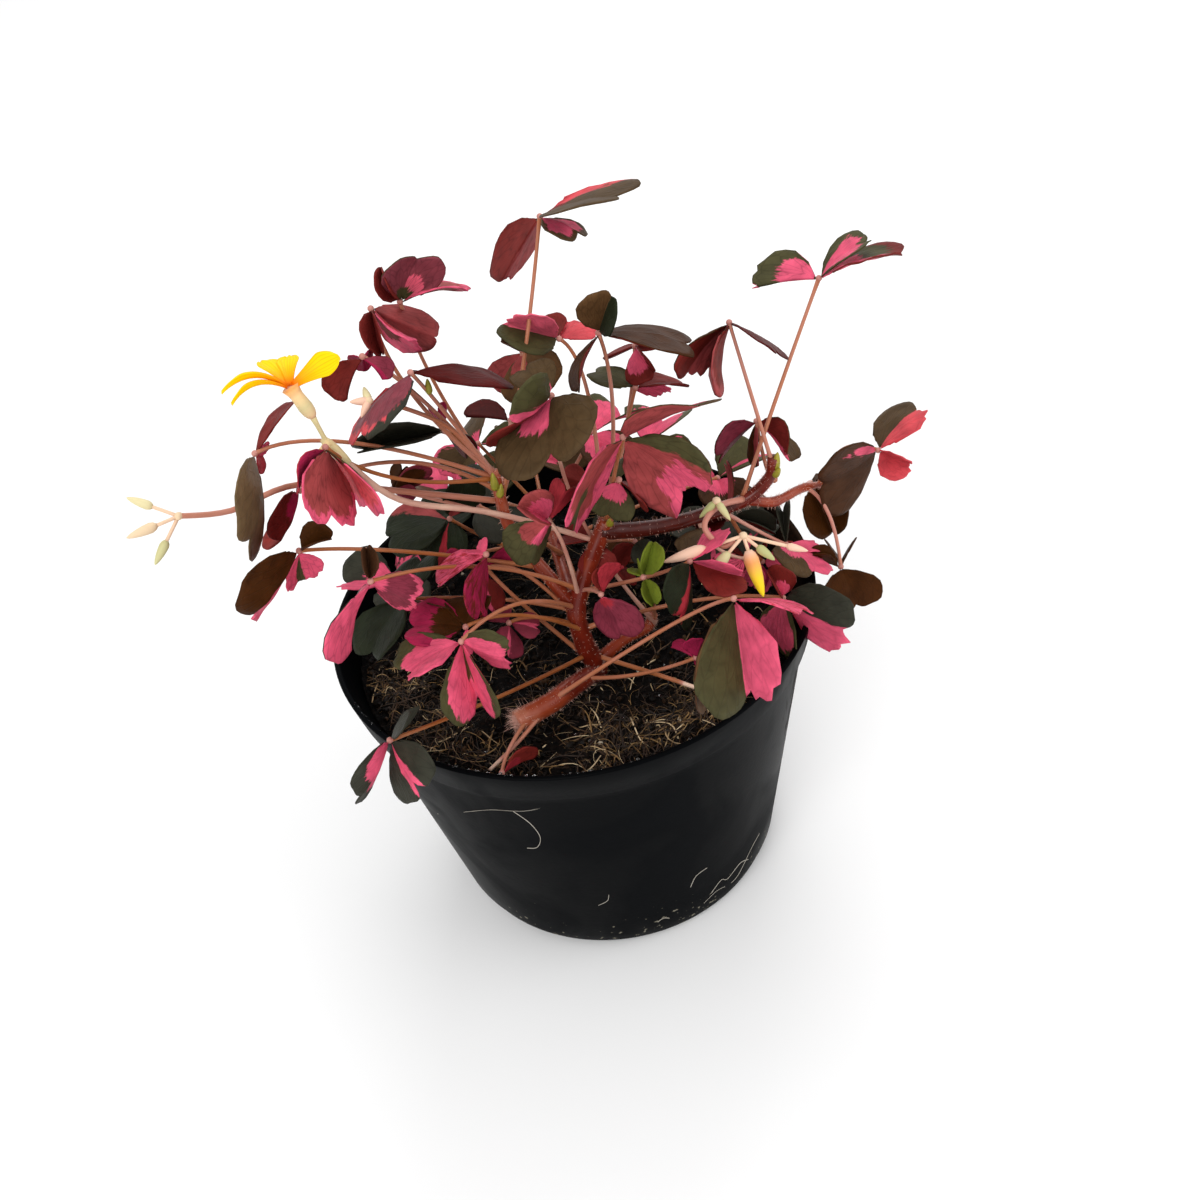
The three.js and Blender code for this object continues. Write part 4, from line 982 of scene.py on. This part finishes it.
def shape_blade(leaf_number, blade_number, hub, row):
    """One blade: the blank spread to a heart, folded along its midrib, arched, crinkled and painted."""
    bearing, pitch, length, roll, fold, look, *own = row
    arch, notch = own or (BLADE_ARCH, BLADE_NOTCH)
    patch_code, blotch_code, above, beneath = look.split()
    patch, blotch = zone(patch_code, out, side), zone(blotch_code, out, side)
    seed = leaf_number * 3.7 + blade_number * 1.3

    # The margin: gently wavy, and drawn in and toothed where the patch that reaches it has no green.
    margin = 1 + 0.02 * np.sin(angle * 9 + seed) + 0.012 * np.sin(angle * 17 + seed * 2)
    edge = np.ones_like(out)
    paler = float(above[1] in PINK) * np.clip(zone(patch_code, edge, side) * 4, 0, 1)
    paler *= 1 - np.clip(zone(blotch_code, edge, side) * 4, 0, 1)
    margin -= paler * (0.1 + 0.05 * abs(np.sin(angle * 12 + seed)) + 0.02 * np.sin(angle * 41 + seed))
    notched = 1.02 - (1.02 - notch) * notch_share
    reach = (0.03 + 0.97 * out) * lobe_reach * notched * (1 + (margin - 1) * out ** 3)
    x, y = reach * np.cos(angle), reach * np.sin(angle)

    # The relief: the fold and the arch, small crinkles between the veins, and ripples along the margin.
    crinkle = 0.014 * np.sin(angle * 21 + seed) * np.clip(patch + 0.3, 0, 1)
    crinkle += 0.008 * np.sin(out * 14 + angle * 6 + seed)
    ripple = 0.03 * np.sin(angle * 4.2 + seed * 1.7) + 0.015 * np.sin(angle * 7.7 + seed)
    bump = (crinkle * out + ripple * out ** 2 * abs(side)) * (1 - 0.6 * fold / 90)
    slope = math.radians(fold)
    rise = abs(y) * math.sin(slope) * (1 - 0.2 * abs(y)) + 4 * arch * x * (1 - x)
    blade = cut_out(blade_blank, hub, blade_axes(bearing, pitch, roll), (
        BLADE_START + x * length,
        (y * math.cos(slope) - bump * np.sign(y) * math.sin(slope)) * length,
        (rise + bump * math.cos(slope)) * length))

    mark(blade, "place", "FLOAT_VECTOR", np.stack([out, side, np.full_like(out, seed)], 1))
    mark(blade, "zones", "FLOAT_VECTOR", np.stack([patch, blotch, 0 * out], 1))
    for face, letters in (("above", above), ("beneath", beneath)):
        for layer, letter in zip(("ground", "patch", "blotch"), letters):
            mark(blade, f"{face} {layer}", "FLOAT_COLOR", np.tile(linear(TISSUE[letter]), (len(out), 1)))
    return blade


STREAKS = (4.5, 11, 1)  # ragged streaks along and across a blade
RAGGEDNESS = (0.42, -0.35)  # of the patch's edge and the blotch's
VEIN_CELLS = (3.2, 8, 1)  # cells of the vein net along and across a blade


def leaf_tissue(name, face, vein_shade, vein_depth, surface):
    """The skin of one face of a blade: zones with ragged edges along the veins, and the veins themselves."""
    skin, shader = new_material(name, surface)
    place = add_node(skin, "Attribute", attribute_name="place").outputs["Vector"]
    zones = add_node(skin, "SeparateXYZ", {
        "Vector": add_node(skin, "Attribute", attribute_name="zones").outputs["Vector"]})
    painted, *layers = (add_node(skin, "Attribute", attribute_name=f"{face} {layer}")
                        for layer in ("ground", "patch", "blotch"))

    # The zones' edges are ragged in long streaks that follow the veins.
    stretched = add_node(skin, "VectorMath", {0: place, 1: STREAKS}, operation="MULTIPLY")
    streak = add_node(skin, "TexNoise", {"Vector": stretched, "Scale": 1, "Detail": 4, "Roughness": 0.65})
    ragged = add_node(skin, "Math", {0: streak, 1: 0.5}, operation="SUBTRACT")
    for axis, raggedness, colour in zip("XY", RAGGEDNESS, layers):
        depth = add_node(skin, "Math", {
            0: ragged, 1: raggedness, 2: zones.outputs[axis]}, operation="MULTIPLY_ADD")
        inside = add_node(skin, "MapRange", {"Value": depth, "From Min": -0.015, "From Max": 0.03})
        painted = add_node(skin, "Mix", {"Factor": inside, "A": painted, "B": colour}, data_type="RGBA")

    # Light and dark patches of about 4 mm, then the veins: a net of cells and the midrib, over them both.
    mottle = add_node(skin, "TexNoise", {
        "Vector": add_node(skin, "TexCoord").outputs["Object"], "Scale": 260, "Detail": 4})
    light_and_dark = add_node(skin, "MapRange", {
        "Value": mottle, "From Min": 0.3, "From Max": 0.7, "To Min": 0.78, "To Max": 1.2})
    cells = add_node(skin, "VectorMath", {0: place, 1: VEIN_CELLS}, operation="MULTIPLY")
    net = add_node(skin, "TexVoronoi", {"Vector": cells, "Scale": 1}, feature="DISTANCE_TO_EDGE")
    fine_vein = add_node(skin, "MapRange", {"Value": net, "From Max": 0.09, "To Min": 1, "To Max": 0})
    across = add_node(skin, "SeparateXYZ", {"Vector": place})
    off_midrib = add_node(skin, "Math", {0: across.outputs["Y"]}, operation="ABSOLUTE")
    midrib = add_node(skin, "MapRange", {
        "Value": off_midrib, "From Min": 0.02, "From Max": 0.09, "To Min": 1, "To Max": 0})
    veins = add_node(skin, "Math", {0: fine_vein, 1: midrib}, operation="MAXIMUM")
    shade = add_node(skin, "Math", {0: veins, 1: vein_shade - 1, 2: light_and_dark}, operation="MULTIPLY_ADD")
    shaded = add_node(skin, "VectorMath", {0: painted, "Scale": shade}, operation="SCALE")
    relief = add_node(skin, "Bump", {"Height": veins, "Strength": vein_depth, "Distance": 0.25 * MM})
    connect(skin, shader, {"Base Color": shaded, "Normal": relief})
    return skin


# The upper face is satin, with veins sunk in it. The lower one is duller from its fine down, and its veins
# stand proud and dark. Real side veins lie closer together than these, which are as coarse as they need to
# be to show.
upper_skin = leaf_tissue("leaf blade, upper face, satin", "above", 0.86, 0.25, {
    "Roughness": 0.5, "Specular IOR Level": 0.06})
lower_skin = leaf_tissue("leaf blade, lower face, finely haired", "beneath", 0.72, -0.4, {
    "Roughness": 0.6, "Specular IOR Level": 0.08})
# The joint is a bead of pale flesh, from rose to cream, that shows as a dot where the blades meet.
joint_skin = patchy("leaf joint, pale flesh", 0.5, 300, 2, "#8e4038", "#dba092")

for leaf_number, hub, bend, root, leaf_slot, blades in LEAVES:
    select_only()
    bpy.ops.mesh.primitive_ico_sphere_add(subdivisions=2, radius=JOINT_RADIUS, location=Vector(hub) * MM)
    joint = bpy.context.object
    bpy.ops.object.transform_apply(location=True)
    bpy.ops.object.shade_smooth()
    joint.data.materials.append(joint_skin)
    shaped = [shape_blade(leaf_number, i, hub, row) for i, row in enumerate(blades)]
    leaf = join_and_thicken(shaped, BLADE_THICKNESS, (upper_skin, lower_skin))
    joint.select_set(True)
    bpy.ops.object.join()
    leaf.name = f"shamrock_leaf_{leaf_number:02d}"
    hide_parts(f"leaf_{leaf_number:02d}" if leaf_number <= LAST_OUTER_LEAF else "stems")
    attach(leaf, "root")
bpy.data.objects.remove(blade_blank)

# ---------------------------------------------------------------- petioles and stalks
# The slender stalks of leaves and flowers, tan to pink, with a swollen foot where each leaves its branch.
# Some have lost their leaves and end in a dry, pale cut.
PETIOLE_RADIUS = 0.46
PETIOLE_STEPS = 18
CUT_LENGTH = 3  # rings of the pale end
# Painted shade: the petioles of leaves to the left of this edge are given a darker red tone.
PAINTED_SHADE_EDGE = -12  # mm: the petioles of leaves to the left of it are redder
# Each row: points (mm), radius at the first and the last of them, tone (0 dark red, 1 cream).
STALKS = [
    ([(-43, -16, 152), (-40, -18, 148), (-32, -14, 133), (-16, -9, 122), (-5, -8, 115), (8, -9, 107)],
     0.75, 0.65, 0.9),
    ([(-79.8, -10.4, 138.4), (-69, -9, 136), (-53, -6, 137), (-30, -5, 128), (-11, -3, 119)],
     0.65, 0.75, 0.65),
    ([(44, -7, 108), (37, -13, 112), (33, -18, 111), (36, -21, 107), (39, -21, 108)], 0.8, 0.6, 0.75),
    ([(-31.4, -10.6, 156), (-27, -6, 151), (-18, -3, 141), (-11, -2, 126)], 0.45, 0.55, 0.6),
    ([(4, -17, 78), (16, -27, 78), (24, -33, 77)], 0.6, 0.5, 0.4),
    ([(-9, -30, 79.5), (-18, -39, 78), (-26, -45, 76.5)], 0.55, 0.45, 0.7),
    ([(1, -2, 101), (2, -6, 96), (3, -11, 90)], 0.5, 0.6, 0.35),
]
FIRST_CUT_STALK = 4  # from this row on, nothing is left at the end
petiole_paths, petiole_tones = [], []
for _, hub, bend, root, _, _ in LEAVES:
    hub, bend, root = (np.array(point, float) for point in (hub, bend, root))
    pull = 2 * bend - hub / 2 - root / 2
    path = []
    for knot in range(PETIOLE_STEPS + 1):
        s = knot / PETIOLE_STEPS
        place = (1 - s) ** 2 * root + 2 * s * (1 - s) * pull + s ** 2 * hub
        swelling = 0.35 * math.exp(-((s / 0.05) ** 2)) + 0.15 * math.exp(-(((1 - s) / 0.04) ** 2))
        path.append((place, PETIOLE_RADIUS * (1.15 - 0.25 * s) + swelling))
    petiole_paths.append(path)
    paleness = chance.uniform(0.1, 0.6)
    # Each petiole has a random paleness, and those left of the edge are two tenths darker, as painted shade.
    petiole_tones += [paleness + (0.3 if hub[0] > PAINTED_SHADE_EDGE else 0.1)] * len(path)
for row, (points, foot, tip, tone) in enumerate(STALKS):
    line = smooth_path(points, 6)
    radii = [foot + (tip - foot) * i / (len(line) - 1) for i in range(len(line))]
    petiole_paths.append(list(zip(line, radii)))
    cut = CUT_LENGTH if row >= FIRST_CUT_STALK else 0
    petiole_tones += [tone] * (len(line) - cut) + [1.0] * cut
petioles = draw_tubes("petioles_and_stalks", petiole_paths, 2)
mark_rings(petioles, petiole_tones)
# Young stalks are firm and juicy: a soft gloss over tan that turns pink and red in stretches of 11 mm.
stalk_skin, _, _ = tone_skin("young stalk, finely haired", {
    "Roughness": 0.38, "Specular IOR Level": 0.3, "Sheen Weight": 0.06, "Sheen Roughness": 0.45,
    "Sheen Tint": "#ffe2d0",
}, "tone", 90, 3, 0.5, [
    (0, "#66281c"), (0.3, "#a05c2c"), (0.55, "#b06c4c"), (0.8, "#c28474"), (1, "#e8c4ac")])
petioles.data.materials.append(stalk_skin)
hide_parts("stems")
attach(petioles, "root")

# ---------------------------------------------------------------- flower
# One open flower: five spoon-shaped yellow petals that spread from a short throat with orange veins, held
# by a pale cup of sepals on a cream stalk.
THROAT = Vector((-47, -14, 166))
CUP_FOOT = Vector((-44.4, -15, 159))
PEDICEL_FOOT = Vector((-43, -16, 152.3))
HEAD_TIP = Vector((-40, -18, 148))
PETAL_THICKNESS = 0.22
PETAL_NECK = 0.07  # half width at the throat, as a share of the length
PETAL_VEINS = 22.0  # radians of a wave from a petal's middle to its edge: seven veins in all
# Each row: bearing, pitch, length, roll, fold, half width and arch as shares of the length.
PETALS = [
    (12, 16, 11.5, 35, 12, 0.27, 0.06), (90, 8, 10, 0, 15, 0.25, 0.1), (122, 12, 10.5, 10, 15, 0.25, 0.08),
    (186, 12, 13.5, 20, 40, 0.15, 0.2), (192, 2, 12, 20, 40, 0.15, 0.2),
]
petal_blank, s, petal_side = flat_blank(18, 10)
petals = []
for bearing, pitch, length, roll, fold, width, arch in PETALS:
    spoon = PETAL_NECK + (width - PETAL_NECK) * np.clip(s / 0.7, 0, 1) ** 1.3
    round_tip = np.sqrt(np.clip(1 - np.clip((s - 0.62) / 0.4, 0, 1) ** 2, 0.02, 1))
    y = petal_side * spoon * round_tip
    slope = math.radians(fold)
    rise = abs(y) * math.sin(slope) + 4 * arch * s * (1 - s) + 0.02 * np.sin(petal_side * 5 + bearing) * s
    petal = cut_out(petal_blank, THROAT, blade_axes(bearing, pitch, roll), (
        BLADE_START + (s - 0.03 * petal_side ** 2 * s) * length * 0.98,
        y * math.cos(slope) * length,
        rise * length))
    mark(petal, "place", "FLOAT_VECTOR", np.stack([s, petal_side, np.full_like(s, bearing)], 1))
    petals.append(petal)
bpy.data.objects.remove(petal_blank)

# Petal tissue is thin and silky: a clean warm yellow without gloss, orange in the throat and along the veins.
yellow, yellow_shader = new_material("petal, thin and silky", {"Roughness": 0.5, "Specular IOR Level": 0.1})
on_petal = add_node(yellow, "SeparateXYZ", {
    "Vector": add_node(yellow, "Attribute", attribute_name="place").outputs["Vector"]})
petal_hue = add_node(yellow, "ValToRGB", {"Fac": on_petal.outputs["X"]}, stops=[
    (0, "#e06400"), (0.25, "#fba800"), (0.6, "#ffca00"), (1, "#ffd200")])
stripes = add_node(yellow, "Math", {0: on_petal.outputs["Y"], 1: PETAL_VEINS}, operation="MULTIPLY")
stripe_wave = add_node(yellow, "Math", {0: stripes}, operation="SINE")
stripe_lines = add_node(yellow, "MapRange", {
    "Value": stripe_wave, "From Min": 0.7, "From Max": 1.0, "To Max": 0.35})
lined = add_node(yellow, "Mix", {"Factor": stripe_lines, "A": petal_hue, "B": "#e26e00"}, data_type="RGBA")
connect(yellow, yellow_shader, {"Base Color": lined})
corolla = join_and_thicken(petals, PETAL_THICKNESS, (yellow,))
corolla.name = "yellow_petals"
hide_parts("flower_petals")
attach(corolla, "root")


def along_line(start, end, rings):
    """Points and radii of a tube from start to end, for rings of (share of the way, radius)."""
    return [(start.lerp(end, share), radius) for share, radius in rings]


cup_parts = [
    along_line(CUP_FOOT, THROAT, [
        (-0.08, 0.6), (0, 1.1), (0.12, 1.45), (0.3, 1.6), (0.5, 1.5), (0.7, 1.4), (0.85, 1.6), (1.0, 2.0)]),
    along_line(PEDICEL_FOOT, CUP_FOOT, [(-0.3, 0.85), (0, 0.6), (0.35, 0.5), (0.7, 0.55), (1.05, 0.8)]),
    along_line(PEDICEL_FOOT, HEAD_TIP, [(-0.25, 0.7), (0, 1.2), (0.4, 1.35), (0.8, 1.2), (1.1, 0.95)]),
    [(Vector((-42.4, -16.4, 152.6)), 1.0), (Vector((-44.5, -17.5, 151.5)), 0.75),
     (Vector((-46.5, -18.5, 149.5)), 0.7), (Vector((-47.5, -19, 148)), 0.35)],
]
cup = draw_tubes("flower_cup_and_stalk", cup_parts, 4)
cup_length = len(cup_parts[0]) - 1
cup_tones = [0.15 + 0.75 * (ring / cup_length) for ring in range(cup_length + 1)]
for part, tone in zip(cup_parts[1:], (0.5, 0.45, 0.6)):
    cup_tones += [tone] * len(part)
mark_rings(cup, cup_tones)
# Sepals are downy, so they look soft and pale: rose at the foot, cream-green, and orange at the throat.
cup.data.materials.append(tone_ramp("sepals, pale and downy", {
    "Roughness": 0.5, "Specular IOR Level": 0.2, "Sheen Weight": 0.1,
}, [(0, "#c98a78"), (0.3, "#e3c396"), (0.5, "#cfc08e"), (0.7, "#f2cc94"), (1, "#f0902c")]))
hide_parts("flower_calyx")
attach(cup, "root")

# ---------------------------------------------------------------- buds
# Clusters of long closed buds that nod from a small head: cream, flushed pink or green, one of them about to
# open yellow. Behind them a faded calyx is left as a cream star.
# A bud's row: bearing, pitch, stalk length, bud length, radius, tone (0 green, 0.5 cream-pink, 1 yellow tip).
BUD_SPRAYS = {
    "left_bud_umbel": ((-79.8, -10.4, 138.4), [
        (160, 25, 6, 6, 1.1, 0.3), (200, 0, 5, 7, 1.2, 0.4), (215, -40, 6, 6, 1.1, 0.2)]),
    "front_bud_umbel": ((41, -21.4, 109), [
        (184, -5, 9, 10, 1.4, 0.5), (206, -28, 5, 9.5, 1.3, 0.25), (280, -50, 3.5, 11, 1.8, 1.0),
        (323, -36, 4, 5, 1.1, 0.1), (343, -19, 10, 5, 0.9, 0.5)]),
    "rear_bud_umbel": ((37, -13.8, 114.4), [(190, -35, 0.5, 5, 0.9, 0.1), (300, -40, 0.5, 5, 0.9, 0.2)]),
    "faded_calyx": ((-32.7, -11.2, 157.3), [
        (180, 10, 0, 4, 0.9, 0.5), (230, -30, 0, 4, 0.9, 0.5), (100, 20, 0, 4, 0.9, 0.3)]),
}
BUD_SHAPE = (  # share of the length, share of the radius
    (0, 0.45), (0.08, 0.8), (0.2, 1.0), (0.4, 0.95), (0.6, 0.8), (0.8, 0.55), (0.93, 0.3), (1.0, 0.06))
HEAD_SHAPE = ((-0.9, 0.3), (-0.5, 0.85), (0, 1.0), (0.5, 0.85), (0.9, 0.3))  # height and radius in mm
STALK_SHAPE = (0, 0.35, 0.7, 1.05)  # shares of the length: the last lies inside the bud
BUD_STALK_RADIUS = 0.42
OPENING = 0.9  # from this tone on, a bud turns yellow towards its tip


def bud_path(place, bearing, pitch, start, length, radius):
    """The path of a bud that starts at a distance from a place and points along a bearing and a pitch."""
    along = blade_axes(bearing, pitch, 0)[0]
    return [(np.array(place) + along * (start + length * s), radius * r) for s, r in BUD_SHAPE]


# Closed buds are smooth and a little waxy, so a soft highlight runs down each of them.
bud_skin = tone_ramp("closed bud, smooth", {
    "Roughness": 0.45, "Specular IOR Level": 0.2, "Sheen Weight": 0.08,
}, [(0, "#9aa860"), (0.3, "#dfd3a4"), (0.5, "#efc6ad"), (0.75, "#f0a45c"), (1, "#ffd81a")])
for name, (head, buds) in BUD_SPRAYS.items():
    paths, tones = [], []
    head = np.array(head)
    for bearing, pitch, stalk, length, radius, tone in buds:
        paths.append(bud_path(head, bearing, pitch, stalk, length, radius))
        ends = [0.45 + 0.55 * min(1, ring / (len(BUD_SHAPE) - 1) * 1.6) for ring in range(len(BUD_SHAPE))]
        tones += ends if tone >= OPENING else [tone] * len(BUD_SHAPE)
        if stalk > 2:
            along = blade_axes(bearing, pitch, 0)[0]
            paths.append([(head + along * stalk * s, BUD_STALK_RADIUS) for s in STALK_SHAPE])
            tones += [0.45] * len(STALK_SHAPE)
    paths.append([(head + np.array((0, 0, rise)), radius) for rise, radius in HEAD_SHAPE])
    tones += [0.4] * len(HEAD_SHAPE)
    spray = draw_tubes(name + "_piece", paths, 4)
    mark_rings(spray, tones)
    spray.data.materials.append(bud_skin)
    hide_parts(name)
    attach(spray, "root")

# ---------------------------------------------------------------- shoots in the axils
# Where petioles leave the branches, next year's shoots start as tiny green scales, pressed together in twos.
# They are soft living tissue that grows out of the stem's skin.
# Each row: place (mm), bearing, pitch, length and radius.
AXIL_SHOOTS = [
    ((-11.5, -4.0, 123), 80, 80, 4.5, 1.0), ((-11, -4.3, 121), 30, 70, 3.5, 0.9),
    ((52.4, -6.4, 114), 30, 75, 4.5, 1.0), ((52, -6.8, 112.5), 320, 60, 3.2, 0.9),
    ((-20.3, -7.5, 153.6), 60, 80, 3.6, 0.8), ((12.4, -9.8, 111), 280, 60, 3.2, 0.9),
]
shoots = draw_tubes("axil_shoots", [
    bud_path(place, bearing, pitch, 0, length, radius)
    for place, bearing, pitch, length, radius in AXIL_SHOOTS], 4)
# Young scales are waxy: a clear highlight over fresh green, with olive patches of about 2 mm.
shoot_skin, shoot_shader = new_material("young green scale, waxy", {
    "Roughness": 0.4, "Specular IOR Level": 0.3})
shoot_tone = add_node(shoot_skin, "TexNoise", {
    "Vector": add_node(shoot_skin, "TexCoord").outputs["Object"], "Scale": 500, "Detail": 3})
shoot_hue = add_node(shoot_skin, "ValToRGB", {"Fac": shoot_tone}, stops=[(0, "#5c6a14"), (1, "#b8a83c")])
connect(shoot_skin, shoot_shader, {"Base Color": shoot_hue})
shoots.data.materials.append(shoot_skin)
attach(shoots, "root")

# ---------------------------------------------------------------- water drops
# Watering leaves clear drops: most of them stand on the pot's rim at the front, the others lie on the peat.
# Each is a small flattened bead that clings to what it stands on.
DROP_COUNT = 90
DROP_SIZES = (0.16, 0.4)
drop_places = []
for drop in range(DROP_COUNT):
    size = chance.uniform(*DROP_SIZES)
    if drop % 3:
        turn = math.radians(chance.gauss(-118, 22))
        reach = (RIM_RADIUS - WALL / 2) / MM - chance.uniform(0.2, 0.7)
        level = POT_HEIGHT / MM - 0.1
    else:
        turn = math.radians(chance.gauss(-95, 40))
        reach = chance.uniform(20, 46)
        level = soil_height(reach * math.cos(turn) * MM, reach * math.sin(turn) * MM) / MM + 1.0
    place = (reach * math.cos(turn), reach * math.sin(turn), level)
    drop_places.append((place, (size, size, size * 0.8), Matrix.Identity(3).to_quaternion()))
select_only()
bpy.ops.mesh.primitive_ico_sphere_add(subdivisions=2, radius=1)
drops = sow("water_drops", drop_places)
bpy.ops.object.shade_smooth()
# Clear water bends the light and keeps a hard glint. A slight haze, uneven over 1.4 mm, is dust on its skin.
water, water_shader = new_material("clear water", {"IOR": 1.33, "Transmission Weight": 1.0})
water_film = add_node(water, "TexNoise", {
    "Vector": add_node(water, "TexCoord").outputs["Object"], "Scale": 700})
water_haze = add_node(water, "MapRange", {"Value": water_film, "To Max": 0.12})
connect(water, water_shader, {"Roughness": water_haze})
drops.data.materials.append(water)
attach(drops, "root")

# ---------------------------------------------------------------- scraps on the pot
# Watering leaves a few fine roots and bits of fibre stuck to the outside of the pot, where they dry pale:
# a long one that crosses the wall on the left, a thicker curled one beside it, and short bits near the foot.
# Each row: radius, then the course as bearing round the pot and height (degrees and mm).
SCRAPS = [
    (0.045, [(-145, 50), (-129, 62), (-120, 67), (-110, 69), (-99, 74)]),
    (0.08, [(-114, 68), (-111, 63), (-110, 57), (-112, 52), (-115, 51)]),
    (0.07, [(-64, 11), (-60, 14), (-57, 12), (-51, 14), (-46, 11)]),
    (0.05, [(-67, 8), (-62, 10), (-58, 9)]),
    (0.06, [(-55, 8), (-51, 9), (-45, 15), (-40, 17)]),
    (0.06, [(-101, 23), (-98, 25), (-97, 28)]),
    (0.07, [(-72, 20), (-70, 24), (-66, 25)]),
    (0.09, [(-84, 9), (-82, 10), (-80, 9)]),
]
scrap_paths = []
for radius, course in SCRAPS:
    wall = []
    for bearing, height in course:
        reach = wall_radius(height * MM) / MM + radius * 0.7
        turn = math.radians(bearing)
        wall.append((reach * math.cos(turn), reach * math.sin(turn), height))
    scrap_paths.append([(point, radius) for point in smooth_path(wall, 8)])
scraps = draw_tubes("root_scraps_on_pot", scrap_paths, 1)
# Dried root is papery and shineless, grey to cream in patches of about 4 mm.
scraps.data.materials.append(patchy("dried fine root, papery", 0.75, 240, 3, "#6e6455", "#e2dccf"))
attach(scraps, "root")
